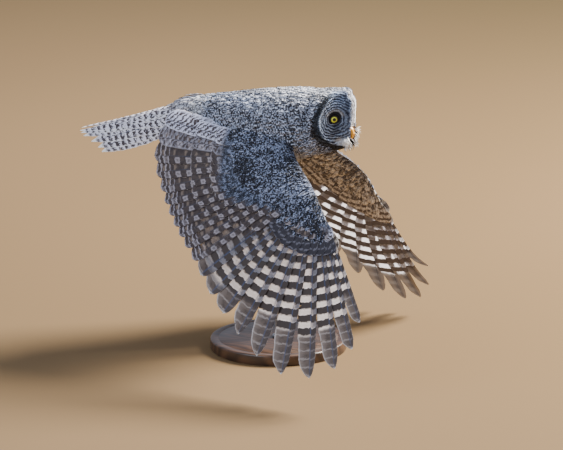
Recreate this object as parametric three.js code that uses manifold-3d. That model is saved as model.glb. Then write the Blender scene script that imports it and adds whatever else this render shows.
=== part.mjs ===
import * as THREE from 'three';
import { mergeVertices } from 'three/addons/utils/BufferGeometryUtils.js';
import Module from 'manifold-3d';

const wasm = await Module();
wasm.setup();

// Great grey owl at life size, flying with both wings low on the downstroke, on a disc stand.
// Millimetres. +X is the way the owl flies, +Y its left side, +Z up.
// The origin is the middle of the underside of the stand's base.

const degree = Math.PI / 180;
const touchGap = 0.3; // clearance between sub-parts that touch
const seamGap = 0.35; // clearance round a curved neighbour, a little more for its facets

// Stand: a flat disc with a socket, one rod and a saddle under the belly
const baseRadius = 150;
const baseHeight = 16;
const baseBevel = 3;
const socketRadius = 15;
const socketHeight = 8;
const socketDepth = 14;
const rodRadius = 6.5;
const saddleHalfLength = 27;
const saddleHalfWidth = 21;
const saddleDrop = 9; // below the belly

// The owl's own frame has its origin midway between the shoulders
const shoulderAhead = 10; // of the rod
const shoulderHeight = 512;
const shoulderHalfSpan = 55;

// Trunk and neck: distance ahead, top, underside, half width and height of the widest level
const bodyStations = [
  { x: -236, top: 24, under: 9, half: 10, level: 17 },
  { x: -220, top: 33, under: -4, half: 27, level: 15 },
  { x: -185, top: 43, under: -26, half: 46, level: 9 },
  { x: -125, top: 54, under: -53, half: 63, level: 3 },
  { x: -55, top: 67, under: -72, half: 77, level: 0 },
  { x: 15, top: 77, under: -77, half: 82, level: 0 },
  { x: 62, top: 81, under: -71, half: 80, level: 4 },
  { x: 100, top: 83, under: -58, half: 77, level: 10 },
];
const neckStart = 56;
const headStart = 86;
const bodySides = 24;
const bodyPitch = 24; // about this far between rings

// Head: the two dished halves of the facial disc meet in a ridge over the bill
const faceLevel = 27; // height of the middle of the disc
const faceHalfWidth = 78;
const faceUp = 60;
const faceDown = 65;
const faceAheadMost = 154; // the plane of each half, where the two would meet
const faceSlant = 0.613; // how fast each half falls back
const faceRound = 16;
const faceCurve = 0.0022; // from top to bottom
const faceCurveLevel = 36;
const foreheadLevel = 56; // over this the forehead rounds back
const foreheadCurve = 0.014;
const ridgeRise = 19; // the ridge between the eyes stands out from the halves
const ridgeInner = 9;
const ridgeOuter = 27;
const loreRise = 6; // the bristly swelling on either side of the bill
const loreAside = 13;
const cleftDepth = 13; // where the bill sits between them
const billLevel = -9;
const dishDepth = 5;
const dishRadius = 50;
const ruffRise = 5; // the raised rim round the disc
const headSides = 30;
const headTurn = -7 * degree; // the head looks a little to the right
const headPivot = 100;

// Eyes and lids
const eyeAhead = 131;
const eyeAside = 24.5;
const eyeRadius = 11;
const eyeTurn = 27 * degree; // outward from straight ahead
const lidThickness = 1.6;
const lidOpening = 44 * degree; // from the eye's axis to the edge of the lids
const lidSkirt = 84 * degree;
const lidDroop = 6 * degree;

// Wings. A place on a spread wing is told by its distance out from the shoulder, its distance
// forward, and its height over the feathers' mid surface. These places bend with the pose.
const armSpan = 180; // the wing bends down more from here
const handSpan = 420; // to here
const rootTwist = 5 * degree; // of the section at the body
const wingPoses = {
  right: {
    side: -1, armDroop: 52.3, handDroop: 63, twist: -10.4, handTurn: 0, spread: 0, bulge: 0,
    lift: 15, curl: 2, tipLift: 0, fingers: 1,
  },
  left: {
    side: 1, armDroop: 56.7, handDroop: 65.2, twist: 3, handTurn: -21, spread: -12.1, bulge: 9.4,
    lift: 46, curl: 3.2, tipLift: 0.43, fingers: 0.62,
  },
};

// Flight feathers, from the innermost primary out, and from the wrist in to the body
const primaryLengths = [270, 278, 289, 309, 335, 361, 366, 350, 314, 258];
const primaryWidths = [62, 62, 60, 56, 54, 52, 47, 42, 34, 27];
const wrist = [151, 136];
const primaryRootStart = [169, 105];
const primaryRootEnd = [218, 183];
const primaryFirstAngle = -47.6;
const primaryFan = 81.2;
const primaryFanBulge = 4.4;
const secondaryCount = 12;
const secondaryRoots = [[163, 98], [150, 35], [128, -22], [88, -34], [48, -34]];
const secondaryTips = [[345, -98], [279, -155], [223, -199], [160, -239], [94, -262], [12, -246]];
const vaneThickness = 0.5;
const vaneSlope = 0.08; // rise of a vane towards its leading edge
const tierLift = 3.9; // from one tier of feathers to the next
const rootSink = 16; // how far a flight feather's vane starts inside the arm
const underLift = -5.2;
const coverSink = 24;
const shortSink = 46;

// The fleshy arm and hand of a wing, with the small coverts that lie tight on it
const armLeading = [[-10, 38], [28, 51], [60, 66], [92, 92], [126, 123], [158, 150], [190, 171], [216, 189], [243, 207]];
const armTrailing = [[-6, -92], [46, -90], [88, -76], [122, -56], [152, -24], [180, 16], [207, 62], [232, 108], [258, 168]];
const armTop = [17, 16, 14, 12, 10.5, 9, 7.5, 6, 4.5];
const armUnder = [12, 12, 10.5, 9, 8, 7, 6, 5, 4];

// Tail
const tailRoot = new THREE.Vector3(-196, 0, 25);
const tailDrop = 16.5 * degree;
const tailRoll = 23 * degree; // twisted down on the right side
const tailLengths = [297, 290, 268, 253, 246]; // from the middle pair outwards
const tailShafts = [5, 16, 33, 44, 51]; // distances from the middle line at the tips
const tailHalf = 17; // half width of a tail feather
const tailArch = 0.012; // the closed tail is rounded across
const tailStep = 1.5; // each pair lies this far under the one inside it

// Legs, trailing under the tail with the toes closed
const legAside = 30;
const legPath = [[-72, -58], [-108, -66], [-146, -61], [-178, -51], [-192, -46]];
const legRadii = [21, 19, 12.5, 9.5, 8];
const toeRadius = 5.6;
const clawLength = 21;

const plumageGrey = 0x5f646c;
const colours = {
  body: plumageGrey,
  face: 0x777b80,
  wing: 0x4b4540,
  tail: 0x5a524b,
  eye: 0xd9b31c,
  bill: 0xd6a23a,
  leg: 0x7b7872,
  claw: 0x1b1a1a,
  stand: 0x26211d,
  rod: 0x8c8c8c,
};

function smooth(value) {
  const t = THREE.MathUtils.clamp(value, 0, 1);
  return t * t * (3 - 2 * t);
}

function mix(a, b, t) {
  return a + (b - a) * t;
}

// Geometry from points and triangles, turned so that its faces point outwards
function closedGeometry(points, triangles) {
  let volume = 0;
  for (const [a, b, c] of triangles) {
    volume += points[a].dot(points[b].clone().cross(points[c]));
  }
  const index = triangles.flatMap(([a, b, c]) => (volume > 0 ? [a, b, c] : [a, c, b]));
  const geometry = new THREE.BufferGeometry().setFromPoints(points);
  geometry.setIndex(index);
  return geometry;
}

// A closed form through rings of equal count, each end closed on a point
function loft(rings, startPoint, endPoint) {
  const sides = rings[0].length;
  const points = rings.flat();
  const triangles = [];
  const start = points.push(startPoint) - 1;
  const end = points.push(endPoint) - 1;
  const last = (rings.length - 1) * sides;
  for (let j = 0; j < sides; j++) {
    const k = (j + 1) % sides;
    triangles.push([start, k, j], [end, last + j, last + k]);
    for (let row = 0; row < last; row += sides) {
      triangles.push([row + j, row + k, row + sides + k], [row + j, row + sides + k, row + sides + j]);
    }
  }
  return closedGeometry(points, triangles);
}

// A thin plate between two like grids of points, cut into triangles alike on both faces
function plate(top, under) {
  const rows = top.length;
  const columns = top[0].length;
  const points = [...top.flat(), ...under.flat()];
  const shift = rows * columns;
  const triangles = [];
  for (let i = 0; i < rows - 1; i++) {
    for (let j = 0; j < columns - 1; j++) {
      const a = i * columns + j;
      const b = a + columns;
      triangles.push([a, b, b + 1], [a, b + 1, a + 1]);
      triangles.push([shift + a, shift + b + 1, shift + b], [shift + a, shift + a + 1, shift + b + 1]);
    }
  }
  const edge = [];
  for (let i = 0; i < rows; i++) edge.push(i * columns);
  for (let j = 1; j < columns; j++) edge.push((rows - 1) * columns + j);
  for (let i = rows - 2; i >= 0; i--) edge.push(i * columns + columns - 1);
  for (let j = columns - 2; j > 0; j--) edge.push(j);
  edge.forEach((a, n) => {
    const b = edge[(n + 1) % edge.length];
    triangles.push([a, shift + a, shift + b], [a, shift + b, b]);
  });
  return closedGeometry(points, triangles);
}

function solid(geometry) {
  const bare = geometry.index ? geometry.clone() : geometry;
  bare.deleteAttribute('normal');
  bare.deleteAttribute('uv');
  const merged = mergeVertices(bare, 1e-4);
  return new wasm.Manifold(new wasm.Mesh({
    numProp: 3,
    vertProperties: new Float32Array(merged.attributes.position.array),
    triVerts: new Uint32Array(merged.index.array),
  }));
}

function joined(pieces) {
  return pieces.reduce((whole, piece) => whole.add(piece));
}

// The largest closed body of a solid, as geometry
function largestBody(shape) {
  const bodies = shape.decompose();
  const mesh = bodies.reduce((a, b) => (b.volume() > a.volume() ? b : a)).getMesh();
  const geometry = new THREE.BufferGeometry();
  geometry.setAttribute('position', new THREE.BufferAttribute(new Float32Array(mesh.vertProperties), 3));
  geometry.setIndex(new THREE.BufferAttribute(new Uint32Array(mesh.triVerts), 1));
  return geometry;
}

// A round form along a path in space, with a radius aside and a radius in the path's plane
function limb(path, sides, reach) {
  const rings = path.map(({ at, aside, deep }, n) => {
    const before = path[Math.max(n - 1, 0)].at;
    const after = path[Math.min(n + 1, path.length - 1)].at;
    const along = after.clone().sub(before).normalize();
    const across = new THREE.Vector3(0, 1, 0).addScaledVector(along, -along.y).normalize();
    const over = along.clone().cross(across);
    return Array.from({ length: sides }, (_, j) => {
      const angle = (2 * Math.PI * j) / sides;
      return at.clone()
        .addScaledVector(across, aside * Math.cos(angle))
        .addScaledVector(over, deep * Math.sin(angle));
    });
  });
  const first = path[0].at;
  const last = path[path.length - 1].at;
  const startPoint = first.clone().addScaledVector(first.clone().sub(path[1].at).normalize(), reach);
  const endPoint = last.clone().addScaledVector(last.clone().sub(path[path.length - 2].at).normalize(), reach);
  return loft(rings, startPoint, endPoint);
}

// Trunk, neck and the back of the head

function bodyAt(x) {
  const n = THREE.MathUtils.clamp(bodyStations.findIndex((s) => s.x >= x), 1, bodyStations.length - 1);
  const [p, a, b, q] = [n - 2, n - 1, n, n + 1].map((k) => bodyStations[THREE.MathUtils.clamp(k, 0, bodyStations.length - 1)]);
  const t = (x - a.x) / (b.x - a.x);
  const value = (key) => {
    const slopeA = b.x === p.x ? 0 : ((b[key] - p[key]) / (b.x - p.x)) * (b.x - a.x);
    const slopeB = q.x === a.x ? 0 : ((q[key] - a[key]) / (q.x - a.x)) * (b.x - a.x);
    return (2 * t ** 3 - 3 * t ** 2 + 1) * a[key] + (t ** 3 - 2 * t ** 2 + t) * slopeA
      + (3 * t ** 2 - 2 * t ** 3) * b[key] + (t ** 3 - t ** 2) * slopeB;
  };
  return { top: value('top'), under: value('under'), half: value('half'), level: value('level') };
}

function bodyRing(x, sides, grow = 0) {
  const { top, under, half, level } = bodyAt(x);
  return Array.from({ length: sides }, (_, j) => {
    const angle = (2 * Math.PI * j) / sides;
    const rise = Math.cos(angle);
    const reach = (rise > 0 ? top - level : level - under) + grow;
    return new THREE.Vector3(x, (half + grow) * Math.sin(angle), level + reach * rise);
  });
}

function bodyLength(from, to, grow = 0) {
  const count = Math.max(1, Math.round((to - from) / bodyPitch));
  const rings = [];
  for (let i = 0; i <= count; i++) {
    rings.push(bodyRing(mix(from, to, i / count), bodySides, grow));
  }
  return rings;
}

const bodyTailEnd = bodyStations[0].x;

function trunk(grow = 0) {
  const rings = bodyLength(bodyTailEnd, neckStart, grow);
  const { level } = bodyAt(bodyTailEnd);
  const tip = new THREE.Vector3(bodyTailEnd - 4 - grow, 0, level);
  return loft(rings, tip, new THREE.Vector3(neckStart, 0, level));
}

function neck() {
  const rings = bodyLength(neckStart + touchGap, headStart);
  return loft(rings, new THREE.Vector3(neckStart + touchGap, 0, 0), new THREE.Vector3(headStart, 0, 0));
}

// Head

function faceRim(angle) {
  const rise = Math.cos(angle);
  return { y: faceHalfWidth * Math.sin(angle), z: faceLevel + (rise > 0 ? faceUp : faceDown) * rise };
}

function faceAhead(y, z, rim) {
  const aside = Math.abs(y);
  const plane = faceAheadMost - faceSlant * (Math.hypot(y, faceRound) - faceRound);
  const ridge = ridgeRise * (1 - smooth((aside - ridgeInner) / (ridgeOuter - ridgeInner)));
  const fromEye = Math.hypot(aside - eyeAside - 6, z - faceLevel) / dishRadius;
  const dish = fromEye < 1 ? dishDepth * (1 - fromEye ** 2) ** 2 : 0;
  const ruff = ruffRise * smooth((rim - 0.8) / 0.12) * smooth((1.06 - rim) / 0.12);
  const nearBill = Math.exp(-(((z - billLevel) / 16) ** 2));
  const lore = loreRise * nearBill * Math.exp(-(((aside - loreAside) / 8) ** 2));
  const cleft = cleftDepth * nearBill * Math.exp(-((y / 7) ** 2));
  const forehead = foreheadCurve * Math.max(z - foreheadLevel, 0) ** 2;
  return plane + ridge - dish + ruff + lore - cleft - forehead - faceCurve * (z - faceCurveLevel) ** 2;
}

// A point, or a piece's geometry, goes with the head as it turns on the neck
function withHead(item) {
  const upright = new THREE.Vector3(0, 0, 1);
  if (item.isVector3) {
    item.x -= headPivot;
    item.applyAxisAngle(upright, headTurn);
    item.x += headPivot;
    return item;
  }
  return item.translate(-headPivot, 0, 0).rotateZ(headTurn).translate(headPivot, 0, 0);
}

function headForm() {
  const ring = (rim, back) => Array.from({ length: headSides }, (_, j) => {
    const { y, z } = faceRim((2 * Math.PI * j) / headSides);
    const at = { y: y * rim, z: faceLevel + (z - faceLevel) * rim };
    return withHead(new THREE.Vector3(faceAhead(at.y, at.z, rim) - back, at.y, at.z));
  });
  const rings = [0.12, 0.26, 0.4, 0.54, 0.68, 0.8, 0.9, 0.97].map((rim) => ring(rim, 0));
  const edge = ring(1, 4);
  rings.push(edge);
  const nape = bodyRing(headStart + touchGap, headSides);
  for (const t of [0.3, 0.65]) {
    rings.push(edge.map((point, j) => {
      const bulge = 1 + 0.045 * Math.sin(Math.PI * t);
      const p = point.clone().lerp(nape[j], t);
      return new THREE.Vector3(p.x, p.y * bulge, faceLevel + (p.z - faceLevel) * bulge);
    }));
  }
  rings.push(nape);
  const front = withHead(new THREE.Vector3(faceAhead(0, faceLevel, 0), 0, faceLevel));
  return solid(loft(rings, front, new THREE.Vector3(headStart + touchGap, 0, faceLevel)));
}

function eyeTurned(geometry, side, droop = 0) {
  geometry.rotateY(Math.PI / 2 + droop);
  geometry.rotateZ(side * eyeTurn);
  geometry.translate(eyeAhead, side * eyeAside, faceLevel - 1);
  return withHead(geometry);
}

function eyeBall(side, grow = 0) {
  const ball = new THREE.SphereGeometry(eyeRadius + grow, 14, 8);
  ball.rotateX(Math.PI / 2);
  return eyeTurned(ball, side);
}

// The lids, as the part of a shell round the eye that leaves the iris free
function lids(side) {
  const inner = eyeRadius + touchGap;
  const outer = inner + lidThickness;
  const steps = 3;
  const profile = [];
  for (let i = 0; i <= steps; i++) {
    const angle = mix(lidOpening, lidSkirt, i / steps);
    profile.push(new THREE.Vector2(outer * Math.sin(angle), outer * Math.cos(angle)));
  }
  for (let i = steps; i >= 0; i--) {
    const angle = mix(lidOpening, lidSkirt, i / steps);
    profile.push(new THREE.Vector2((inner - 1) * Math.sin(angle), (inner - 1) * Math.cos(angle)));
  }
  profile.push(profile[0].clone());
  const ring = new THREE.LatheGeometry(profile.reverse(), 16);
  ring.rotateX(Math.PI / 2);
  return solid(eyeTurned(ring, side, lidDroop));
}

// The two halves of the bill, each along its own curve in the owl's middle plane
const upperBillPath = [
  { x: 144, z: 6, aside: 9, deep: 7.5 },
  { x: 156, z: 4.5, aside: 8.2, deep: 7.2 },
  { x: 163.5, z: -1.5, aside: 6.8, deep: 6 },
  { x: 166.5, z: -9.5, aside: 5, deep: 4.6 },
  { x: 165.2, z: -17, aside: 3, deep: 3 },
  { x: 162.4, z: -22, aside: 1.4, deep: 1.4 },
];
const lowerBillPath = [
  { x: 143, z: -11.5, aside: 6.6, deep: 3.2 },
  { x: 152.5, z: -14.5, aside: 5.6, deep: 2.9 },
  { x: 159.5, z: -18.5, aside: 3, deep: 1.7 },
];

function billForm(path, grow = 0) {
  const spine = path.map(({ x, z, aside, deep }) => ({
    at: new THREE.Vector3(x, 0, z), aside: aside + grow, deep: deep + grow,
  }));
  return solid(withHead(limb(spine, 12, 1.2 + grow)));
}

function nostrils() {
  return joined([-1, 1].map((side) => {
    const pit = new THREE.SphereGeometry(1.7, 8, 6);
    pit.scale(1.3, 1, 0.9);
    pit.translate(160, side * 7.6, 2.6);
    return solid(withHead(pit));
  }));
}

// Wings

function wingPlace(pose) {
  const step = 5;
  const droopAt = (out) => mix(pose.armDroop, pose.handDroop, smooth((out - armSpan) / (handSpan - armSpan))) * degree;
  return (out, fore, lift) => {
    const count = Math.max(1, Math.ceil(Math.abs(out) / step));
    const at = new THREE.Vector3(0, pose.side * shoulderHalfSpan, 0);
    for (let i = 0; i < count; i++) {
      const droop = droopAt(((i + 0.5) * out) / count);
      at.y += (pose.side * Math.cos(droop) * out) / count;
      at.z -= (Math.sin(droop) * out) / count;
    }
    const droop = droopAt(out);
    const twist = mix(rootTwist, pose.twist * degree, smooth(out / armSpan));
    const normal = new THREE.Vector3(0, pose.side * Math.sin(droop), Math.cos(droop));
    const chord = new THREE.Vector3(Math.cos(twist), 0, 0).addScaledVector(normal, -Math.sin(twist));
    const rise = new THREE.Vector3(Math.sin(twist), 0, 0).addScaledVector(normal, Math.cos(twist));
    return at.addScaledVector(chord, fore).addScaledVector(rise, lift);
  };
}

function along(line, t) {
  const curve = new THREE.CatmullRomCurve3(line.map(([s, c]) => new THREE.Vector3(s, c, 0)));
  const { x, y } = curve.getPoint(t);
  return [x, y];
}

function turned([s, c], angle, [aboutS, aboutC] = [0, 0]) {
  const [x, y] = [s - aboutS, c - aboutC];
  return [aboutS + x * Math.cos(angle) - y * Math.sin(angle), aboutC + x * Math.sin(angle) + y * Math.cos(angle)];
}

// Every flight feather of a wing, in order from the wing tip to the body, with its shaft's ends
function flightFeathers(pose) {
  const feathers = primaryLengths.map((length, n) => {
    const t = n / (primaryLengths.length - 1);
    const start = [mix(primaryRootStart[0], primaryRootEnd[0], t), mix(primaryRootStart[1], primaryRootEnd[1], t)];
    const root = turned(start, pose.handTurn * degree, wrist);
    const angle = (primaryFirstAngle + primaryFan * t + primaryFanBulge * Math.sin(Math.PI * t * t)
      + pose.handTurn + pose.spread * (t - 1) + pose.bulge * Math.sin(Math.PI * t)) * degree;
    const [outer, inner] = [0.27 * primaryWidths[n], 0.73 * primaryWidths[n]];
    return {
      shape: n < 3 ? vaneShapes.broad : fingered(pose.fingers),
      root, tip: [root[0] + length * Math.cos(angle), root[1] + length * Math.sin(angle)], outer, inner,
      lift: pose.lift * smooth((t + 0.2) / 0.7) * (1 + pose.tipLift * smooth((t - 0.75) / 0.25)),
      cover: mix(84, 98, Math.sin(Math.PI * t)),
    };
  }).reverse();
  for (let n = 0; n < secondaryCount; n++) {
    const t = n / (secondaryCount - 1);
    const share = (1 - t) ** 2;
    const root = turned(along(secondaryRoots, t), pose.handTurn * degree * share, wrist);
    const straight = along(secondaryTips, t);
    const tip = turned(turned(straight, pose.handTurn * degree * share, wrist), -pose.spread * degree * share, root);
    feathers.push({
      shape: vaneShapes.broad, root, tip, outer: 17, inner: 33, lift: 0,
      cover: mix(118, 140, smooth(t * 2)), shortCover: mix(70, 92, smooth(t * 2)),
    });
  }
  return feathers;
}

const flightRows = [0, 0.25, 0.5, 0.68, 0.8, 0.92, 1];
const vaneShapes = {
  broad: { rows: flightRows, outer: [0.5, 0.9, 1, 1, 1, 0.8, 0.2], inner: [0.4, 0.9, 1, 1, 1, 0.8, 0.2] },
  covert: { rows: [0, 0.4, 0.75, 0.93, 1], outer: [0.7, 0.95, 1, 0.75, 0.2], inner: [0.7, 0.95, 1, 0.75, 0.2] },
};

// An outer primary, its inner side cut in towards the tip
function fingered(share) {
  return { rows: flightRows, outer: [0.5, 0.9, 1, 1, 1, 0.85, 0.2], inner: [0.4, 0.9, 1, 1, 0.88 * share, 0.68 * share, 0.04] };
}

// One vane: its shaft runs from start to end, its leading side is counter-clockwise of the shaft
function vane(place, shape, start, end, widths, liftAt) {
  const reach = [end[0] - start[0], end[1] - start[1]];
  const length = Math.hypot(...reach);
  const ahead = [-reach[1] / length, reach[0] / length];
  const top = [];
  const under = [];
  shape.rows.forEach((t, row) => {
    const middle = liftAt(t);
    const edges = [widths.outer * shape.outer[row], -widths.inner * shape.inner[row]];
    for (const [face, half] of [[top, vaneThickness / 2], [under, -vaneThickness / 2]]) {
      face.push(edges.map((aside) => place(
        start[0] + reach[0] * t + ahead[0] * aside,
        start[1] + reach[1] * t + ahead[1] * aside,
        middle + vaneSlope * aside + half,
      )));
    }
  });
  return solid(plate(top, under));
}

// The arm's outline in plan, turned at the wrist with the hand
function armOutline(pose) {
  const handShare = (n) => smooth((n - 3) / 3);
  const turn = (line) => line.map((point, n) => turned(point, pose.handTurn * degree * handShare(n), wrist));
  return { leading: turn(armLeading), trailing: turn(armTrailing) };
}

function wingArm(place, { leading, trailing }) {
  const chordStops = [0, 0.05, 0.18, 0.4, 0.68, 0.92, 1];
  const topShape = [0, 0.55, 0.92, 1, 0.8, 0.52, 0.34];
  const underShape = [0, 0.5, 0.8, 0.86, 0.72, 0.52, 0.36];
  const rings = leading.map((lead, n) => {
    const trail = trailing[n];
    const at = (t, lift) => place(mix(lead[0], trail[0], t), mix(lead[1], trail[1], t), lift);
    const over = chordStops.map((t, k) => at(t, armTop[n] * topShape[k]));
    const below = chordStops.slice(1).map((t, k) => at(t, -armUnder[n] * underShape[k + 1])).reverse();
    return [...over, ...below];
  });
  const middle = (n, shift) => place((leading[n][0] + trailing[n][0]) / 2 + shift, (leading[n][1] + trailing[n][1]) / 2, 0);
  return solid(loft(rings, middle(0, -2), middle(leading.length - 1, 5)));
}

// How far along its shaft a feather leaves the arm's trailing edge
function armExit({ root, tip }, trailing) {
  const reach = [tip[0] - root[0], tip[1] - root[1]];
  const length = Math.hypot(...reach);
  let exit = 0;
  for (let n = 1; n < trailing.length; n++) {
    const [a, b] = [trailing[n - 1], trailing[n]];
    const edge = [b[0] - a[0], b[1] - a[1]];
    const across = reach[0] * edge[1] - reach[1] * edge[0];
    const t = ((a[0] - root[0]) * edge[1] - (a[1] - root[1]) * edge[0]) / across;
    const u = ((a[0] - root[0]) * reach[1] - (a[1] - root[1]) * reach[0]) / across;
    if (t > 0 && u >= -0.2 && u <= 1.2) exit = Math.max(exit, t * length);
  }
  return exit || 40;
}

function partWay({ root, tip }, distance) {
  const t = distance / Math.hypot(tip[0] - root[0], tip[1] - root[1]);
  return [mix(root[0], tip[0], t), mix(root[1], tip[1], t)];
}

function wing(pose) {
  const place = wingPlace(pose);
  const outline = armOutline(pose);
  const feathers = flightFeathers(pose);
  const pieces = [wingArm(place, outline)];
  feathers.forEach((feather, n) => {
    const { shape, root, tip, outer, inner, lift, cover, shortCover } = feather;
    const length = Math.hypot(tip[0] - root[0], tip[1] - root[1]);
    const exit = armExit(feather, outline.trailing);
    const bent = (distance) => lift * Math.max(distance / length, 0) ** pose.curl;
    const add = (form, from, to, widths, tier) => {
      pieces.push(vane(place, form, partWay(feather, from), partWay(feather, to), widths,
        (t) => tier + bent(mix(from, to, t))));
    };
    add(shape, exit - rootSink, length, { outer, inner }, 0);
    add(vaneShapes.covert, exit - coverSink, cover, { outer: Math.min(outer, 15), inner: 22 }, tierLift);
    if (n % 2 === 0) {
      add(vaneShapes.covert, exit - coverSink, cover * 0.9, { outer: 14, inner: 40 }, underLift);
    }
    if (shortCover && n % 2 === 0) {
      add(vaneShapes.covert, exit - shortSink, shortCover, { outer: 22, inner: 24 }, 2 * tierLift);
    }
  });
  return joined(pieces);
}

// Tail

function tailPlace(distance, aside, lift) {
  const back = new THREE.Vector3(-Math.cos(tailDrop), 0, -Math.sin(tailDrop));
  const up = new THREE.Vector3(-Math.sin(tailDrop), 0, Math.cos(tailDrop));
  const across = new THREE.Vector3(0, Math.cos(tailRoll), 0).addScaledVector(up, Math.sin(tailRoll));
  const over = up.clone().multiplyScalar(Math.cos(tailRoll)).add(new THREE.Vector3(0, -Math.sin(tailRoll), 0));
  return tailRoot.clone().addScaledVector(back, distance).addScaledVector(across, aside)
    .addScaledVector(over, lift - tailArch * aside * aside);
}

const tailRows = [0, 0.4, 0.7, 0.86, 1];
const tailWidths = [0.75, 1, 0.92, 0.66, 0.08];

// A tail feather; the inner sides of the middle pair meet, and the outer sides narrow outwards
function tailVane(side, order, from, to, half, lift) {
  const t = order / (tailShafts.length - 1);
  const shaftAt = (distance) => tailShafts[order] * mix(0.72, 1, Math.min(distance / 250, 1));
  const inner = order === 0 ? 3.5 : half * 0.9;
  const outer = half * mix(1.1, 0.5, t);
  const top = [];
  const under = [];
  tailRows.forEach((s, row) => {
    const distance = mix(from, to, s);
    const edges = [outer * tailWidths[row], -inner * tailWidths[row]];
    for (const [face, shift] of [[top, vaneThickness / 2], [under, -vaneThickness / 2]]) {
      face.push(edges.map((aside) => tailPlace(
        distance, side * (shaftAt(distance) + aside), lift - tailStep * order - aside * 0.05 + shift,
      )));
    }
  });
  return solid(plate(top, under));
}

function tail() {
  const pieces = [];
  const core = [
    { at: tailPlace(-22, 0, -3), aside: 14, deep: 8 },
    { at: tailPlace(4, 0, -5), aside: 26, deep: 13 },
    { at: tailPlace(34, 0, -9), aside: 30, deep: 14 },
    { at: tailPlace(70, 0, -12), aside: 30, deep: 13 },
    { at: tailPlace(104, 0, -11), aside: 26, deep: 8 },
  ];
  pieces.push(solid(limb(core, 14, 6)));
  for (const side of [-1, 1]) {
    tailLengths.forEach((length, order) => pieces.push(tailVane(side, order, 70, length, tailHalf, 0)));
    for (let order = 0; order < 2; order++) {
      pieces.push(tailVane(side, order * 2, 64, 165 - 18 * order, 22, 3.4));
    }
  }
  return joined(pieces);
}

// Legs

function legPoint([x, z], side) {
  return new THREE.Vector3(x, side * (legAside - 0.02 * (-70 - x)), z);
}

function toePath(side, aside, hind) {
  const [ankleX, ankleZ] = legPath[legPath.length - 1];
  const fore = [[8, 1], [-17, 3], [-31, 0], [-34, -9], [-31, -16]];
  const back = [[2, -3], [3, -9], [9, -14], [16, -17], [20, -23]];
  return (hind ? back : fore).map(([x, z], n) => {
    const spread = aside * (0.5 + 0.17 * n);
    return new THREE.Vector3(ankleX + x, side * (legAside - 2.6) + spread, ankleZ + z);
  });
}

const toePlan = [
  { aside: -10, hind: false },
  { aside: 0, hind: false },
  { aside: 10, hind: false },
  { aside: 0, hind: true },
];

function leg(side) {
  const shank = legPath.map((point, n) => ({ at: legPoint(point, side), aside: legRadii[n], deep: legRadii[n] }));
  const pieces = [solid(limb(shank, 12, 6))];
  for (const { aside, hind } of toePlan) {
    const radii = [6, 6.4, 6, 5.6, 5];
    const path = toePath(side, aside, hind).map((at, n) => ({ at, aside: (radii[n] * toeRadius) / 6, deep: (radii[n] * toeRadius) / 6 }));
    pieces.push(solid(limb(path, 8, 2)));
  }
  return joined(pieces);
}

function claw(side, { aside, hind }) {
  const path = toePath(side, aside, hind);
  const end = path[path.length - 1];
  const heading = end.clone().sub(path[path.length - 2]).normalize();
  const start = end.clone().addScaledVector(heading, 2 + touchGap);
  const bend = new THREE.Vector3(-heading.z, 0, heading.x).multiplyScalar(hind ? -1 : 1);
  const spine = [0, 0.35, 0.7, 1].map((t) => {
    const at = start.clone().addScaledVector(heading, clawLength * t * (1 - 0.25 * t)).addScaledVector(bend, 7 * t * t);
    const radius = mix(3, 0.5, t ** 1.3);
    return { at, aside: radius, deep: radius };
  });
  return limb(spine, 8, 0.3);
}

// Stand

function standBase() {
  const floor = baseHeight + socketHeight - socketDepth;
  const bore = rodRadius + touchGap;
  const profile = [
    [0, 0], [baseRadius - baseBevel, 0], [baseRadius, baseBevel], [baseRadius, baseHeight - baseBevel],
    [baseRadius - baseBevel, baseHeight], [socketRadius + 3, baseHeight], [socketRadius, baseHeight + socketHeight],
    [bore, baseHeight + socketHeight], [bore, floor], [0, floor],
  ].map(([r, z]) => new THREE.Vector2(r, z));
  return new THREE.LatheGeometry(profile, 36).rotateX(Math.PI / 2);
}

const bellyHeight = shoulderHeight + bodyAt(-shoulderAhead).under;
const saddleFloor = bellyHeight - saddleDrop;

function standRod() {
  const start = baseHeight + socketHeight - socketDepth + touchGap;
  const length = saddleFloor - touchGap - start;
  return new THREE.CylinderGeometry(rodRadius, rodRadius, length, 24)
    .rotateX(Math.PI / 2).translate(0, 0, start + length / 2);
}

function standSaddle(belly) {
  const height = 26;
  const block = new THREE.CylinderGeometry(1, 0.8, height, 28).rotateX(Math.PI / 2);
  block.scale(saddleHalfLength, saddleHalfWidth, 1);
  block.translate(-shoulderAhead, 0, saddleFloor - shoulderHeight + height / 2);
  return solid(block).subtract(belly);
}

// Assembly

function node(name, geometry, colour, roughness = 0.85, metalness = 0) {
  const mesh = new THREE.Mesh(geometry, new THREE.MeshStandardMaterial({ color: colour, roughness, metalness }));
  mesh.name = name;
  return mesh;
}

const grownTrunk = solid(trunk(seamGap));
const bodyBlock = grownTrunk.add(solid(loft(bodyLength(neckStart - 1, headStart + 10, seamGap),
  new THREE.Vector3(neckStart - 1, 0, 0), new THREE.Vector3(headStart + 10, 0, 0))));
const tailForm = tail().subtract(grownTrunk);

const owl = new THREE.Group();
owl.position.set(shoulderAhead, 0, shoulderHeight);
owl.add(node('torso', trunk(), colours.body));
owl.add(node('neck', neck(), colours.body));
owl.add(node('tail', largestBody(tailForm), colours.tail));

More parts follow.
